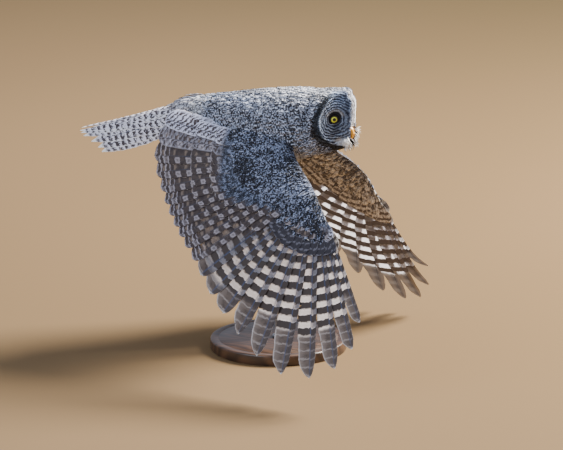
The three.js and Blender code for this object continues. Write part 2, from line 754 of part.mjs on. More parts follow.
const upperBill = billForm(upperBillPath).subtract(nostrils());
const lowerBill = billForm(lowerBillPath).subtract(billForm(upperBillPath, touchGap));
const mouth = billForm(upperBillPath, touchGap).add(billForm(lowerBillPath, touchGap));
let headSolid = headForm().subtract(mouth);
for (const side of [-1, 1]) {
  headSolid = headSolid.add(lids(side)).subtract(solid(eyeBall(side, touchGap)));
}
owl.add(node('head', largestBody(headSolid), colours.face));
owl.add(node('bill_upper', largestBody(upperBill), colours.bill, 0.4));
owl.add(node('bill_lower', largestBody(lowerBill), colours.bill, 0.4));

for (const [name, pose] of Object.entries(wingPoses)) {
  const { side } = pose;
  owl.add(node(`eye_${name}`, eyeBall(side), colours.eye, 0.1));
  owl.add(node(`wing_${name}`, largestBody(wing(pose).subtract(bodyBlock)), colours.wing));
  owl.add(node(`leg_${name}`, largestBody(leg(side).subtract(grownTrunk)), colours.leg));
  toePlan.forEach((toe, n) => owl.add(node(`claw_${name}_${n + 1}`, claw(side, toe), colours.claw, 0.35)));
}

const stand = new THREE.Group();
stand.add(node('stand_base', standBase(), colours.stand, 0.5));
stand.add(node('stand_rod', standRod(), colours.rod, 0.3, 0.9));
const saddle = node('stand_saddle', largestBody(standSaddle(grownTrunk)), colours.rod, 0.4, 0.6);
saddle.position.set(shoulderAhead, 0, shoulderHeight);
stand.add(saddle);

const part = new THREE.Group();
part.add(owl, stand);

export default part;
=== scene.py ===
# Great grey owl in flight at life size, held by a plain display stand
import math

import bmesh
import bpy
import numpy as np
from mathutils import Matrix, Vector
from mathutils.kdtree import KDTree


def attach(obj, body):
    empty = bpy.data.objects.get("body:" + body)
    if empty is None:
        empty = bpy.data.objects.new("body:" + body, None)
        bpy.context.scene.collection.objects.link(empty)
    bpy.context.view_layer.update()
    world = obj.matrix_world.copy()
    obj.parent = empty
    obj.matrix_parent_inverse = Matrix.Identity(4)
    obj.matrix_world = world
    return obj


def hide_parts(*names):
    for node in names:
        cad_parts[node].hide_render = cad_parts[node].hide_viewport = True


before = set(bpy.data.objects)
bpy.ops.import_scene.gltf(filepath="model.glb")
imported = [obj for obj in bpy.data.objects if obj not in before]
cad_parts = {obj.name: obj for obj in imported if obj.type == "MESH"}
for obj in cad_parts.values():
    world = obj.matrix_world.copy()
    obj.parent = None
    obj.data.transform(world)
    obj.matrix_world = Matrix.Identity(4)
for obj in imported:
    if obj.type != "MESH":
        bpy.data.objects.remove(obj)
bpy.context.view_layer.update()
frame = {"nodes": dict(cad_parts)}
rng = np.random.default_rng(11)
mm = 0.001
owlOrigin = np.array([0.010, 0.0, 0.512])  # midway between the shoulders
print("frame loaded")


# Camera: the photograph's angle, from far off with a long lens
view = {
    "turn": 21.32, "height": 14.04, "distance": 12.0, "halfWidth": 0.61366,
    "aimAside": -0.0025, "aimUp": -0.2241,
}


def placeCamera():
    turn, height = math.radians(view["turn"]), math.radians(view["height"])
    back = Vector((math.sin(turn) * math.cos(height), -math.cos(turn) * math.cos(height), math.sin(height)))
    aside = Vector((math.cos(turn), math.sin(turn), 0))
    up = back.cross(aside)
    middle = Vector(owlOrigin)
    data = bpy.data.cameras.new("camera")
    data.sensor_width = 36
    data.lens = data.sensor_width / 2 * view["distance"] / view["halfWidth"]
    data.clip_end = 100
    camera = bpy.data.objects.new("camera", data)
    bpy.context.collection.objects.link(camera)
    camera.location = middle + back * view["distance"]
    aim = middle + aside * view["aimAside"] + up * view["aimUp"]
    camera.rotation_euler = (camera.location - aim).to_track_quat("Z", "Y").to_euler()
    bpy.context.scene.camera = camera


placeCamera()


# Small tools

def smooth(value):
    t = np.clip(value, 0.0, 1.0)
    return t * t * (3 - 2 * t)


def mix(a, b, t):
    return a + (b - a) * t


def unit(vectors):
    return vectors / np.maximum(np.linalg.norm(vectors, axis=-1, keepdims=True), 1e-9)


def toWorld(points):
    return np.asarray(points, float) * mm + owlOrigin


def linked(mesh, name):
    obj = bpy.data.objects.new(name, mesh)
    bpy.context.collection.objects.link(obj)
    return obj


def addAttributes(mesh, attributes):
    # single numbers or vectors, one for each vertex
    for key, values in attributes.items():
        values = np.asarray(values, np.float32)
        vector = values.ndim == 2
        layer = mesh.attributes.new(key, "FLOAT_VECTOR" if vector else "FLOAT", "POINT")
        layer.data.foreach_set("vector" if vector else "value", values.ravel())


def shadeSmooth(mesh):
    mesh.polygons.foreach_set("use_smooth", np.ones(len(mesh.polygons), bool))


def meshOf(name, points, quads, maps=None, attributes=None, materialIndex=None):
    # quads is an (n, 4) array; a row whose last two corners are the same is a triangle
    quads = np.asarray(quads, np.int32)
    keep = np.ones(quads.shape, bool)
    keep[quads[:, 2] == quads[:, 3], 3] = False
    loops = quads[keep]
    starts = np.concatenate([[0], np.cumsum(keep.sum(1))[:-1]])
    mesh = bpy.data.meshes.new(name)
    mesh.vertices.add(len(points))
    mesh.vertices.foreach_set("co", np.asarray(points, np.float32).ravel())
    mesh.loops.add(len(loops))
    mesh.loops.foreach_set("vertex_index", loops)
    mesh.polygons.add(len(quads))
    mesh.polygons.foreach_set("loop_start", starts.astype(np.int32))
    shadeSmooth(mesh)
    if materialIndex is not None:
        mesh.polygons.foreach_set("material_index", np.asarray(materialIndex, np.int32))
    mesh.update(calc_edges=True)
    for mapName, corners in (maps or {}).items():
        layer = mesh.uv_layers.new(name=mapName)
        layer.data.foreach_set("uv", np.asarray(corners, np.float32)[keep].ravel())
    addAttributes(mesh, attributes or {})
    mesh.validate()
    return mesh


def weld(mesh, distance=1e-6):
    form = bmesh.new()
    form.from_mesh(mesh)
    bmesh.ops.remove_doubles(form, verts=form.verts, dist=distance)
    bmesh.ops.recalc_face_normals(form, faces=form.faces)
    form.to_mesh(mesh)
    form.free()


def evaluatedMesh(obj, name):
    # the object's mesh with its modifiers applied
    depsgraph = bpy.context.evaluated_depsgraph_get()
    mesh = bpy.data.meshes.new_from_object(obj.evaluated_get(depsgraph))
    obj.modifiers.clear()
    mesh.name = name
    shadeSmooth(mesh)
    return mesh


# Shader and geometry graphs: sockets that work in Python expressions

class Socket:
    def __init__(self, graph, link):
        self.graph, self.link = graph, link

    def math(self, operation, *values):
        return self.graph.node("ShaderNodeMath", {"operation": operation}, values)

    def __add__(self, other):
        return self.math("ADD", self, other)

    __radd__ = __add__

    def __sub__(self, other):
        return self.math("SUBTRACT", self, other)

    def __rsub__(self, other):
        return self.math("SUBTRACT", other, self)

    def __mul__(self, other):
        return self.math("MULTIPLY", self, other)

    __rmul__ = __mul__

    def __truediv__(self, other):
        return self.math("DIVIDE", self, other)

    def __pow__(self, other):
        return self.math("POWER", self, other)

    def __lt__(self, other):
        return self.math("LESS_THAN", self, other)

    def wave(self):
        return self.math("SINE", self * (2 * math.pi)) * 0.5 + 0.5

    def size(self):
        return self.math("ABSOLUTE", self)

    def least(self, other):
        return self.math("MINIMUM", self, other)

    def most(self, other):
        return self.math("MAXIMUM", self, other)

    def fraction(self):
        return self.math("FRACT", self)

    def step(self, low, high):
        # 0 below low, 1 above high, smooth between; low may be the greater of the two
        return self.graph.node("ShaderNodeMapRange", {"interpolation_type": "SMOOTHSTEP"},
                               {"Value": self, "From Min": low, "From Max": high})


class Graph:
    def __init__(self, tree):
        self.tree = tree

    def node(self, kind, settings=None, inputs=(), output=0):
        made = self.tree.nodes.new(kind)
        for key, value in (settings or {}).items():
            setattr(made, key, value)
        for key, value in inputs.items() if isinstance(inputs, dict) else enumerate(inputs):
            if isinstance(value, Socket):
                self.tree.links.new(value.link, made.inputs[key])
            else:
                made.inputs[key].default_value = value
        return Socket(self, made.outputs[output]) if len(made.outputs) else None

    def vector(self, operation, *values, output=0):
        return self.node("ShaderNodeVectorMath", {"operation": operation}, values, output)

    def blend(self, factor, a, b):
        a, b = (value if isinstance(value, Socket) else (*value, 1) for value in (a, b))
        return self.node("ShaderNodeMix", {"data_type": "RGBA"}, {0: factor, 6: a, 7: b}, output=2)

    def layered(self, colour, *layers):
        # each layer is a factor and the colour that it lays over what is there
        for factor, over in layers:
            colour = self.blend(factor, colour, over)
        return colour

    def noise(self, place, scale, detail=2.0, roughness=0.5, stretch=(1, 1, 1)):
        if stretch != (1, 1, 1):
            place = self.vector("MULTIPLY", place, stretch)
        return self.node("ShaderNodeTexNoise", {}, {
            "Vector": place, "Scale": scale, "Detail": detail, "Roughness": roughness})

    def flecks(self, scale, **more):
        # noise over the object's own place
        return self.noise(self.objectPlace(), scale, **more)

    def grain(self, x, y, z, roughness=0.5):
        # noise over a place made of three numbers
        return self.noise(self.node("ShaderNodeCombineXYZ", {}, [x, y, z]), 1.0, roughness=roughness)

    def attribute(self, name):
        return self.node("ShaderNodeAttribute", {"attribute_name": name}, output="Fac")

    def objectPlace(self):
        return self.node("ShaderNodeTexCoord", output="Object")

    def axes(self, place, count=3):
        return (self.node("ShaderNodeSeparateXYZ", {}, [place], output=axis) for axis in range(count))

    def map(self, name):
        return self.axes(self.node("ShaderNodeUVMap", {"uv_map": name}), 2)

    def bump(self, height, strength, distance):
        return self.node("ShaderNodeBump", {}, {"Strength": strength, "Distance": distance, "Height": height})


class Finish(Graph):
    # a material's graph: the shader's fixed values are given first, and what varies is fed in last
    def __init__(self, name, **fixed):
        self.material, self.fixed = bpy.data.materials.new(name), fixed
        self.material.use_nodes = True
        super().__init__(self.material.node_tree)
        self.tree.nodes.clear()

    def feed(self, passing=None, **varying):
        # passing is the share and the colour of the light that a thin vane lets through
        values = {key.replace("_", " "): value for key, value in (self.fixed | varying).items()}
        surface = self.node("ShaderNodeBsdfPrincipled", {}, values)
        if passing:
            share, colour = passing
            through = self.node("ShaderNodeBsdfTranslucent", {}, {"Color": (*colour, 1)})
            surface = self.node("ShaderNodeMixShader", {}, {0: share, 1: surface, 2: through})
        self.node("ShaderNodeOutputMaterial", {}, {"Surface": surface})
        return self.material


# Wings. A place on a spread wing is its distance out from the shoulder, its distance forward
# and its height over the feathers' mid surface, in millimetres; the pose bends these places.
wingSizes = {
    "shoulder": 55, "armSpan": 180, "handSpan": 420, "rootTwist": 5,
    "primaryLengths": [270, 278, 289, 309, 335, 361, 366, 350, 314, 258],
    "primaryWidths": [62, 62, 60, 56, 54, 52, 47, 42, 34, 27],
    "outerShare": 0.27, "innerShare": 0.73, "firstFinger": 3,
    "wrist": (151, 136), "rootStart": (169, 105), "rootEnd": (218, 183),
    "firstAngle": -47.6, "fan": 81.2, "fanBulge": 4.4, "secondaries": 12, "secondaryHalves": (17, 33),
    "secondaryRoots": [(163, 98), (150, 35), (128, -22), (88, -34), (48, -34)],
    "secondaryTips": [(345, -98), (279, -155), (223, -199), (160, -239), (94, -262), (12, -246)],
    "primaryCover": (84, 98), "shortShare": 0.62, "secondaryCover": (118, 140), "shortCover": (70, 92),
    "ownExit": 40,  # for a feather that doesn't cross the arm's trailing edge
    "leading": [(-10, 38), (28, 51), (60, 66), (92, 92), (126, 123), (158, 150), (190, 171), (216, 189),
                (243, 207)],
    "trailing": [(-6, -92), (46, -90), (88, -76), (122, -56), (152, -24), (180, 16), (207, 62), (232, 108),
                 (258, 168)],
    "top": [17, 16, 14, 12, 10.5, 9, 7.5, 6, 4.5],
    "under": [12, 12, 10.5, 9, 8, 7, 6, 5, 4],
}
wingPoses = {
    "right": {"side": -1, "armDroop": 52.3, "handDroop": 63, "twist": -10.4, "handTurn": 0, "spread": 0,
              "bulge": 0, "lift": 15, "curl": 2, "tipLift": 0, "fingers": "fingered"},
    "left": {"side": 1, "armDroop": 56.7, "handDroop": 65.2, "twist": 3, "handTurn": -21, "spread": -12.1,
             "bulge": 9.4, "lift": 46, "curl": 3.2, "tipLift": 0.43, "fingers": "slender"},
}


def wingPlace(pose):
    outs = np.arange(-80.0, 780.0, 2.0)
    share = smooth((outs - wingSizes["armSpan"]) / (wingSizes["handSpan"] - wingSizes["armSpan"]))
    droop = np.radians(mix(pose["armDroop"], pose["handDroop"], share))

    def summed(rate):
        steps = np.concatenate([[0], np.cumsum((rate[1:] + rate[:-1]) / 2 * np.diff(outs))])
        return steps - np.interp(0, outs, steps)

    across, down = summed(np.cos(droop)), summed(np.sin(droop))
    side = pose["side"]

    def place(out, fore, lift):
        out, fore, lift = np.broadcast_arrays(*(np.asarray(v, float) for v in (out, fore, lift)))
        angle = np.interp(out, outs, droop)
        rootTwist, endTwist = math.radians(wingSizes["rootTwist"]), math.radians(pose["twist"])
        twist = mix(rootTwist, endTwist, smooth(out / wingSizes["armSpan"]))
        normalY, normalZ = side * np.sin(angle), np.cos(angle)
        chordX, chordN = np.cos(twist), -np.sin(twist)
        riseX, riseN = np.sin(twist), np.cos(twist)
        through = fore * chordN + lift * riseN
        return toWorld(np.stack([
            fore * chordX + lift * riseX,
            side * (wingSizes["shoulder"] + np.interp(out, outs, across)) + through * normalY,
            -np.interp(out, outs, down) + through * normalZ,
        ], -1))

    return place


def along(line, t):
    # a point on a smooth curve through the line's points, t from 0 to 1 over its spans
    line = [np.array(point, float) for point in line]
    spot = t * (len(line) - 1)
    n = min(int(spot), len(line) - 2)
    weight = spot - n
    points = [2 * line[0] - line[1], *line, 2 * line[-1] - line[-2]]
    p0, p1, p2, p3 = points[n:n + 4]
    d0, d1, d2 = (math.sqrt(math.dist(a, b)) for a, b in ((p0, p1), (p1, p2), (p2, p3)))
    t1 = ((p1 - p0) / d0 - (p2 - p0) / (d0 + d1) + (p2 - p1) / d1) * d1
    t2 = ((p2 - p1) / d1 - (p3 - p1) / (d1 + d2) + (p3 - p2) / d2) * d1
    return (p1 + t1 * weight + (-3 * p1 + 3 * p2 - 2 * t1 - t2) * weight ** 2
            + (2 * p1 - 2 * p2 + t1 + t2) * weight ** 3)


def turned(point, angle, about=(0, 0)):
    x, y = point[0] - about[0], point[1] - about[1]
    angle = math.radians(angle)
    return np.array([about[0] + x * math.cos(angle) - y * math.sin(angle),
                     about[1] + x * math.sin(angle) + y * math.cos(angle)])


def flightFeathers(pose):
    sizes = wingSizes
    feathers = []
    last = len(sizes["primaryLengths"]) - 1
    for n in range(last, -1, -1):
        t = n / last
        length, width = sizes["primaryLengths"][n], sizes["primaryWidths"][n]
        start = [mix(a, b, t) for a, b in zip(sizes["rootStart"], sizes["rootEnd"])]
        root = turned(start, pose["handTurn"], sizes["wrist"])
        angle = math.radians(
            sizes["firstAngle"] + sizes["fan"] * t + sizes["fanBulge"] * math.sin(math.pi * t * t)
            + pose["handTurn"] + pose["spread"] * (t - 1) + pose["bulge"] * math.sin(math.pi * t))
        tip = root + length * np.array([math.cos(angle), math.sin(angle)])
        lift = pose["lift"] * smooth((t + 0.2) / 0.7) * (1 + pose["tipLift"] * smooth((t - 0.75) / 0.25))
        cover = mix(*sizes["primaryCover"], math.sin(math.pi * t))
        feathers.append({
            "kind": "primary", "t": t, "root": root, "tip": tip, "lift": lift,
            "outer": sizes["outerShare"] * width, "inner": sizes["innerShare"] * width,
            "cover": cover, "shortCover": cover * sizes["shortShare"], "fingered": n >= sizes["firstFinger"],
        })
    for n in range(sizes["secondaries"]):
        t = n / (sizes["secondaries"] - 1)
        share = (1 - t) ** 2
        root, tip = (turned(along(sizes[line], t), pose["handTurn"] * share, sizes["wrist"])
                     for line in ("secondaryRoots", "secondaryTips"))
        tip = turned(tip, -pose["spread"] * share, root)
        outer, inner = sizes["secondaryHalves"]
        growth = float(smooth(t * 2))
        cover, shortCover = (mix(*sizes[key], growth) for key in ("secondaryCover", "shortCover"))
        feathers.append({
            "kind": "secondary", "t": t, "root": root, "tip": tip, "lift": 0, "outer": outer, "inner": inner,
            "cover": cover, "shortCover": shortCover, "fingered": False,
        })
    return feathers


def armOutline(pose):
    def turn(line):
        return [turned(point, pose["handTurn"] * float(smooth((n - 3) / 3)), wingSizes["wrist"])
                for n, point in enumerate(line)]
    return turn(wingSizes["leading"]), turn(wingSizes["trailing"])


def armExit(feather, trailing):
    # how far along its shaft a feather leaves the arm's trailing edge
    reach = feather["tip"] - feather["root"]
    length = np.linalg.norm(reach)
    leaves = 0
    for a, b in zip(trailing[:-1], trailing[1:]):
        edge, start = b - a, a - feather["root"]
        across = reach[0] * edge[1] - reach[1] * edge[0]
        t = (start[0] * edge[1] - start[1] * edge[0]) / across
        u = (start[0] * reach[1] - start[1] * reach[0]) / across
        if t > 0 and -0.2 <= u <= 1.2:
            leaves = max(leaves, t * length)
    return leaves or wingSizes["ownExit"]


# Vanes: one curved blade with its shaft, in any surface that a place function describes

vaneSizes = {
    "thickness": 0.45, "slope": 0.08, "camber": 2.0,
    "columns": [-1, -0.96, -0.75, -0.5, -0.25, 0, 0.35, 0.7, 0.95, 1],
    "tipRows": 11, "barbSweep": 0.55, "splitPlaces": (0.45, 0.93), "splitDepths": (0.25, 0.7),
    "ripple": 0.25, "shaftBase": 1.5, "shaftTip": 0.22, "tierLift": 3.9, "underLift": -5.2,
    "rootSink": 16, "coverSink": 24, "shortSink": 38,
    "wobble": (0.02, 0.015), "tipEnd": 0.0004, "tipPower": 0.55, "bluntTip": 2.2, "keenTip": 1.7,
    "wingScale": 0.00062, "tailScale": 0.0011,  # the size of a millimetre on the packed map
}
coverSizes = {  # outer and inner half, lift in tiers and rows of the short coverts over each kind of feather
    "primary": {"kind": "primaryCover", "outer": 12, "inner": 16, "tiers": 1.7, "rows": 16},
    "secondary": {"kind": "greater", "outer": 20, "inner": 22, "tiers": 2, "rows": 18},
    "greatOuter": 15, "greatInner": 22, "underOuter": 13, "underInner": 26, "underShare": 0.9,
}
vaneShapes = {  # stops along the blade, and the widths there of the outer and the inner half
    "fingered": (
        [0, 0.25, 0.5, 0.66, 0.76, 0.92, 1],
        [0.5, 0.9, 1, 1, 1, 0.95, 0.8], [0.4, 0.9, 1, 1, 0.92, 0.78, 0.5]),
    "slender": (
        [0, 0.25, 0.5, 0.66, 0.76, 0.92, 1],
        [0.5, 0.9, 1, 1, 1, 0.9, 0.75], [0.4, 0.9, 1, 0.94, 0.6, 0.44, 0.3]),
    "broad": ([0, 0.25, 0.5, 0.8, 1], [0.5, 0.9, 1, 1, 0.9], [0.4, 0.9, 1, 1, 0.9]),
    "covert": ([0, 0.4, 0.75, 1], [0.3, 0.95, 1, 0.95], [0.3, 0.95, 1, 0.95]),
    "pointed": ([0, 0.35, 0.66, 0.84, 1], [0.7, 1, 0.92, 0.62, 0.16], [0.6, 1, 0.86, 0.5, 0.12]),
}
featherKinds = {kind: n for n, kind in enumerate(
    ("primary", "secondary", "greater", "primaryCover", "median", "under", "tail"))}


class Vanes:
    # gathers blades and shafts, then makes one mesh of them with a pattern map and a packed map
    def __init__(self, packScale):
        self.points, self.quads, self.patterns, self.packs = [], [], [], []
        self.extra, self.slots, self.strips = [], [], []
        self.count, self.packScale = 0, packScale

    def addGrid(self, points, pattern, pack, extra, slot):
        rows, columns = points.shape[:2]
        index = np.arange(rows * columns).reshape(rows, columns) + self.count

        def corners(grid):
            return np.stack([grid[:-1, :-1], grid[1:, :-1], grid[1:, 1:], grid[:-1, 1:]], 2)

        quads = corners(index).reshape(-1, 4)
        self.points.append(points.reshape(-1, 3))
        self.quads.append(quads)
        self.patterns.append(corners(pattern).reshape(-1, 4, 2))
        self.packs.append((len(self.strips) - 1, corners(pack).reshape(-1, 4, 2)))
        self.extra.append(np.tile(extra, (rows * columns, 1)))
        self.slots.append(np.full(len(quads), slot))
        self.count += rows * columns

    def blade(self, place, shape, start, end, outer, inner, liftAt, marks, rows, splits=0, tipRound=0.5):
        sizes, columns = vaneSizes, np.array(vaneSizes["columns"])[None, :]
        reach = np.asarray(end, float) - start
        length = np.linalg.norm(reach)
        ahead = np.array([-reach[1], reach[0]]) / length
        roundShare = min(0.5, tipRound * (outer + inner) / length)
        tipStart = 1 - roundShare
        t = np.concatenate([np.linspace(0, tipStart, rows - sizes["tipRows"] + 1, endpoint=False),
                            1 - roundShare * np.cos(np.linspace(0, math.pi / 2, sizes["tipRows"]))])
        slits = []
        for _ in range(splits):
            spot, depth = rng.uniform(*sizes["splitPlaces"]), rng.uniform(*sizes["splitDepths"])
            slits.append((spot, depth, rng.choice([-1, -1, 1])))
            t = np.concatenate([t, [spot - 0.006, spot, spot + 0.004]])
        t = np.unique(np.round(t, 5))

        # widths along the blade, rounded at the tip, with wavy edges and narrow slits
        stops, *halves = vaneShapes[shape]
        fine, kernel = np.linspace(-0.1, 1.1, 121), np.ones(9) / 9
        outerWidth, innerWidth = (
            np.interp(t, fine, np.convolve(np.interp(fine, stops, form), kernel, "same"))[:, None]
            for form in halves)
        tipTurn = np.clip((t - tipStart) / roundShare, 0, 1)
        bluntness = sizes["bluntTip"] if shape in ("broad", "covert") else sizes["keenTip"]
        tipWidth = np.maximum(1 - tipTurn ** bluntness, sizes["tipEnd"]) ** sizes["tipPower"]
        slow, quick = sizes["wobble"]
        wobble = 1 + slow * np.sin(t * 37 + rng.uniform(0, 6)) + quick * np.sin(t * 83 + rng.uniform(0, 6))
        half = np.where(columns > 0, outerWidth * outer, innerWidth * inner) * (tipWidth * wobble)[:, None]
        for spot, depth, slitSide in slits:
            atSlit = np.abs(t - spot)[:, None] < 0.002
            cut = atSlit & (np.sign(columns) == slitSide) & (np.abs(columns) > 1 - depth)
            half = np.where(cut, half * (1 - depth) / np.maximum(np.abs(columns), 0.01), half)
        aside = columns * half

        # the barbs run out and towards the tip, so the edges lie a little ahead of the shaft
        forward = sizes["barbSweep"] * np.abs(aside) * smooth(t * 4)[:, None] * (1 - tipTurn[:, None]) * 0.25
        distance = t[:, None] * length + forward
        share = np.minimum(distance / length, 1.0)
        bow = sizes["camber"] * (aside / (outer + inner)) ** 2
        ripple = sizes["ripple"] * np.sin(t[:, None] * 61 + columns * 2 + rng.uniform(0, 6))
        middle = liftAt(share) + sizes["slope"] * aside - bow + ripple * np.abs(columns)
        out = start[0] + reach[0] * share + ahead[0] * aside
        fore = start[1] + reach[1] * share + ahead[1] * aside
        edgeShare = np.minimum(1, 0.25 + (1 - np.abs(columns)) * 3)
        thin = sizes["thickness"] / 2 * edgeShare * np.ones_like(aside)
        pattern = np.stack([columns * 0.5 + 0.5 + 0 * share, (1 - share) * length * mm], -1)
        pack = np.stack([aside + inner, distance], -1)
        upper, lower = place(out, fore, middle + thin), place(out, fore, middle - thin)
        for face, grid in ((1, upper), (-1, lower)):
            self.strips.append((outer + inner + 1, length + 6))
            self.addGrid(grid, pattern, pack, [*marks, face], 0)
        # the rims of the two faces meet in a thin wall
        for edge in (np.s_[:, 0], np.s_[:, -1], np.s_[0], np.s_[-1]):
            wall, wallPattern, wallPack = (np.stack(pair, 1) for pair in (
                (upper[edge], lower[edge]), (pattern[edge],) * 2, (pack[edge],) * 2))
            self.addGrid(wall, wallPattern, wallPack, [*marks, -1], 0)
        if marks[0] != featherKinds["median"]:
            self.shaft(place, start, reach, t, liftAt, length, marks)

    def shaft(self, place, start, reach, t, liftAt, length, marks):
        rows = (t[::2] if len(t) % 2 else np.append(t[::2], t[-1]))[:, None]
        base = min(vaneSizes["shaftBase"], length * 0.005 + 0.3)
        thick = mix(base, vaneSizes["shaftTip"], rows ** 0.8)
        ring = np.linspace(0, 2 * math.pi, 7)
        aside, over = thick * 0.8 * np.cos(ring), thick * np.sin(ring)
        ahead = reach / length
        out = start[0] + reach[0] * rows - ahead[1] * aside
        fore = start[1] + reach[1] * rows + ahead[0] * aside
        grid = place(out, fore, liftAt(rows) + vaneSizes["slope"] * aside + over)
        self.strips.append((7, length + 6))
        pattern = np.stack([0.5 + 0 * aside, (1 - rows) * length * mm + 0 * aside], -1)
        pack = np.stack([ring + 0 * aside, rows * length + 0 * aside], -1)
        self.addGrid(grid, pattern, pack, [*marks, 1], 1)
        for row in (0, -1):
            cap = np.stack([grid[row, [0, 1, 2, 3]], grid[row, [0, 5, 4, 3]]], 0)
            flat = (np.tile(corners[row, 0], (2, 4, 1)) for corners in (pattern, pack))
            self.addGrid(cap, *flat, [*marks, 1], 1)

    def made(self, name):
        # strips stand side by side on shelves, the longest first
        margin, shelfGap, stripGap, scale = 0.004, 0.002, 0.0015, self.packScale
        corners, x, y, tall = {}, margin, margin, 0
        for n in sorted(range(len(self.strips)), key=lambda n: -self.strips[n][1]):
            width, length = self.strips[n][0] * scale, self.strips[n][1] * scale
            if x + width > 1 - margin:
                x, y, tall = margin, y + tall + shelfGap, 0
            corners[n] = (x, y)
            x, tall = x + width + stripGap, max(tall, length)
        assert y + tall < 1, f"{name}: the strips need {y + tall:.2f} of the map"
        packed = np.concatenate([grid * scale + np.array(corners[n]) for n, grid in self.packs])
        extra = dict(zip(("kind", "seed", "pale", "beyond", "face"), np.concatenate(self.extra).T))
        maps = {"vane": np.concatenate(self.patterns), "OFBake": packed}
        mesh = meshOf(name, np.concatenate(self.points), np.concatenate(self.quads), maps, extra,
                      np.concatenate(self.slots))
        weld(mesh)
        return mesh


def wingVanes(name, pose):
    place, trailing = wingPlace(pose), armOutline(pose)[1]
    tier, vanes = vaneSizes["tierLift"], Vanes(vaneSizes["wingScale"])
    for feather in flightFeathers(pose):
        root, tip = feather["root"], feather["tip"]
        length = np.linalg.norm(tip - root)
        leaves = armExit(feather, trailing)
        seed = rng.random()

        def add(kind, shape, start, end, outer, inner, level, **more):
            def liftAt(t):
                # the roots lie sunk in the arm
                bow = feather["lift"] * np.maximum(mix(start, end, t) / length, 0) ** pose["curl"]
                return level * smooth(t / 0.4) + bow
            ends = (mix(root, tip, spot / length) for spot in (start, end))
            marks = [featherKinds[kind], seed, feather["t"], length - end]
            vanes.blade(place, shape, *ends, outer, inner, liftAt, marks, **more)

        shape, tipRound = (pose["fingers"], 0.9) if feather["fingered"] else ("broad", 0.55)
        start, coverStart, shortStart = (
            leaves - vaneSizes[key] for key in ("rootSink", "coverSink", "shortSink"))
        add(feather["kind"], shape, start, length, feather["outer"], feather["inner"], 0,
            splits=int(rng.integers(0, 3)), rows=44, tipRound=tipRound)
        cover, short = feather["cover"], coverSizes[feather["kind"]]
        add(short["kind"], "covert", coverStart, cover, min(feather["outer"], coverSizes["greatOuter"]),
            coverSizes["greatInner"], tier, rows=22)
        add("under", "covert", coverStart, cover * coverSizes["underShare"], coverSizes["underOuter"],
            coverSizes["underInner"], vaneSizes["underLift"], rows=20)
        add("median", "covert", max(shortStart, 0), feather["shortCover"], short["outer"], short["inner"],
            short["tiers"] * tier, rows=short["rows"])
    mesh = vanes.made(name)
    print(f"{name}: {len(mesh.polygons)} faces")
    return linked(mesh, name)


# Tail: two halves of overlapping feathers, the middle pair on top
tailSizes = {
    "root": (-196, 0, 25), "drop": 16.5, "roll": 23, "arch": 0.012, "step": 1.5, "start": 70, "half": 17,
    "leftSlope": 0.13, "lengths": [297, 294, 287, 268, 253, 246], "shafts": [5, 11, 19, 33, 44, 51],
    "coverts": [(0, 205), (1.2, 192), (2.6, 176), (4, 160), (0.6, 160), (1.8, 146), (3.2, 130), (0.2, 118),
                (1.4, 108), (2.8, 96)],
    "outerShares": (1.1, 0.5), "innerShare": 0.9, "middleInner": 3.5, "narrowBase": 0.72, "narrowUntil": 250,
    "covertStart": 40, "covertLift": 2.0, "covertRise": 0.04, "longestCovert": 205,
    "covertOuter": 14, "covertNarrowing": 1.6, "covertInner": 13,
}


def tailPlace():
    drop, roll = math.radians(tailSizes["drop"]), math.radians(tailSizes["roll"])
    back = np.array([-math.cos(drop), 0, -math.sin(drop)])
    up = np.array([-math.sin(drop), 0, math.cos(drop)])
    across = np.array([0, math.cos(roll), 0]) + up * math.sin(roll)
    over = up * math.cos(roll) - np.array([0, math.sin(roll), 0])

    def place(distance, aside, lift):
        distance, aside, lift = (
            np.asarray(v, float)[..., None] for v in np.broadcast_arrays(distance, aside, lift))
        return toWorld(np.array(tailSizes["root"]) + back * distance + across * aside
                       + over * (lift - tailSizes["arch"] * aside ** 2))

    return place


def tailVanes():
    sizes, place, vanes = tailSizes, tailPlace(), Vanes(vaneSizes["tailScale"])

    def shaftAt(order, distance):
        atTip = np.interp(order, range(len(sizes["shafts"])), sizes["shafts"])
        return atTip * mix(sizes["narrowBase"], 1, np.minimum(distance / sizes["narrowUntil"], 1))

    for side in (-1, 1):
        slope = sizes["leftSlope"] if side > 0 else 0

        def add(kind, order, start, end, outer, inner, level, **more):
            def sloped(distance, aside, lift):
                # the left half slopes the other way
                return place(distance, aside, lift - slope * (aside - side * shaftAt(order, distance)))

            ends = [np.array([d, side * shaftAt(order, d)]) for d in (start, end)]
            # the leading side of a blade is to the left of its course
            halves = (outer, inner) if side > 0 else (inner, outer)
            level -= sizes["step"] * order
            marks = [featherKinds[kind], rng.random(), order / 5, 0]
            vanes.blade(sloped, "pointed", *ends, *halves, lambda share: level + 0 * share, marks, **more)

        for order, length in enumerate(sizes["lengths"]):
            outer = sizes["half"] * mix(*sizes["outerShares"], order / 5)
            inner = sizes["half"] * sizes["innerShare"] if order else sizes["middleInner"]
            add("tail", order, sizes["start"], length, outer, inner, 0,
                splits=int(rng.integers(0, 3)), rows=44, tipRound=0.9)
        for order, end in sizes["coverts"]:
            outer = sizes["covertOuter"] - sizes["covertNarrowing"] * order
            inner = sizes["covertInner"] if order else sizes["middleInner"]
            lift = sizes["covertLift"] + (sizes["longestCovert"] - end) * sizes["covertRise"]
            add("median", order, sizes["covertStart"], end, outer, inner, lift, rows=24)
    mesh = vanes.made("tailFeathers")
    print(f"tail feathers: {len(mesh.polygons)} faces")
    return linked(mesh, "tailFeathers")


wings = {side: wingVanes(f"wingFeathers_{side}", pose) for side, pose in wingPoses.items()}
tail = tailVanes()
for side, piece in wings.items():
    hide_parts(f"wing_{side}")
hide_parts("tail")


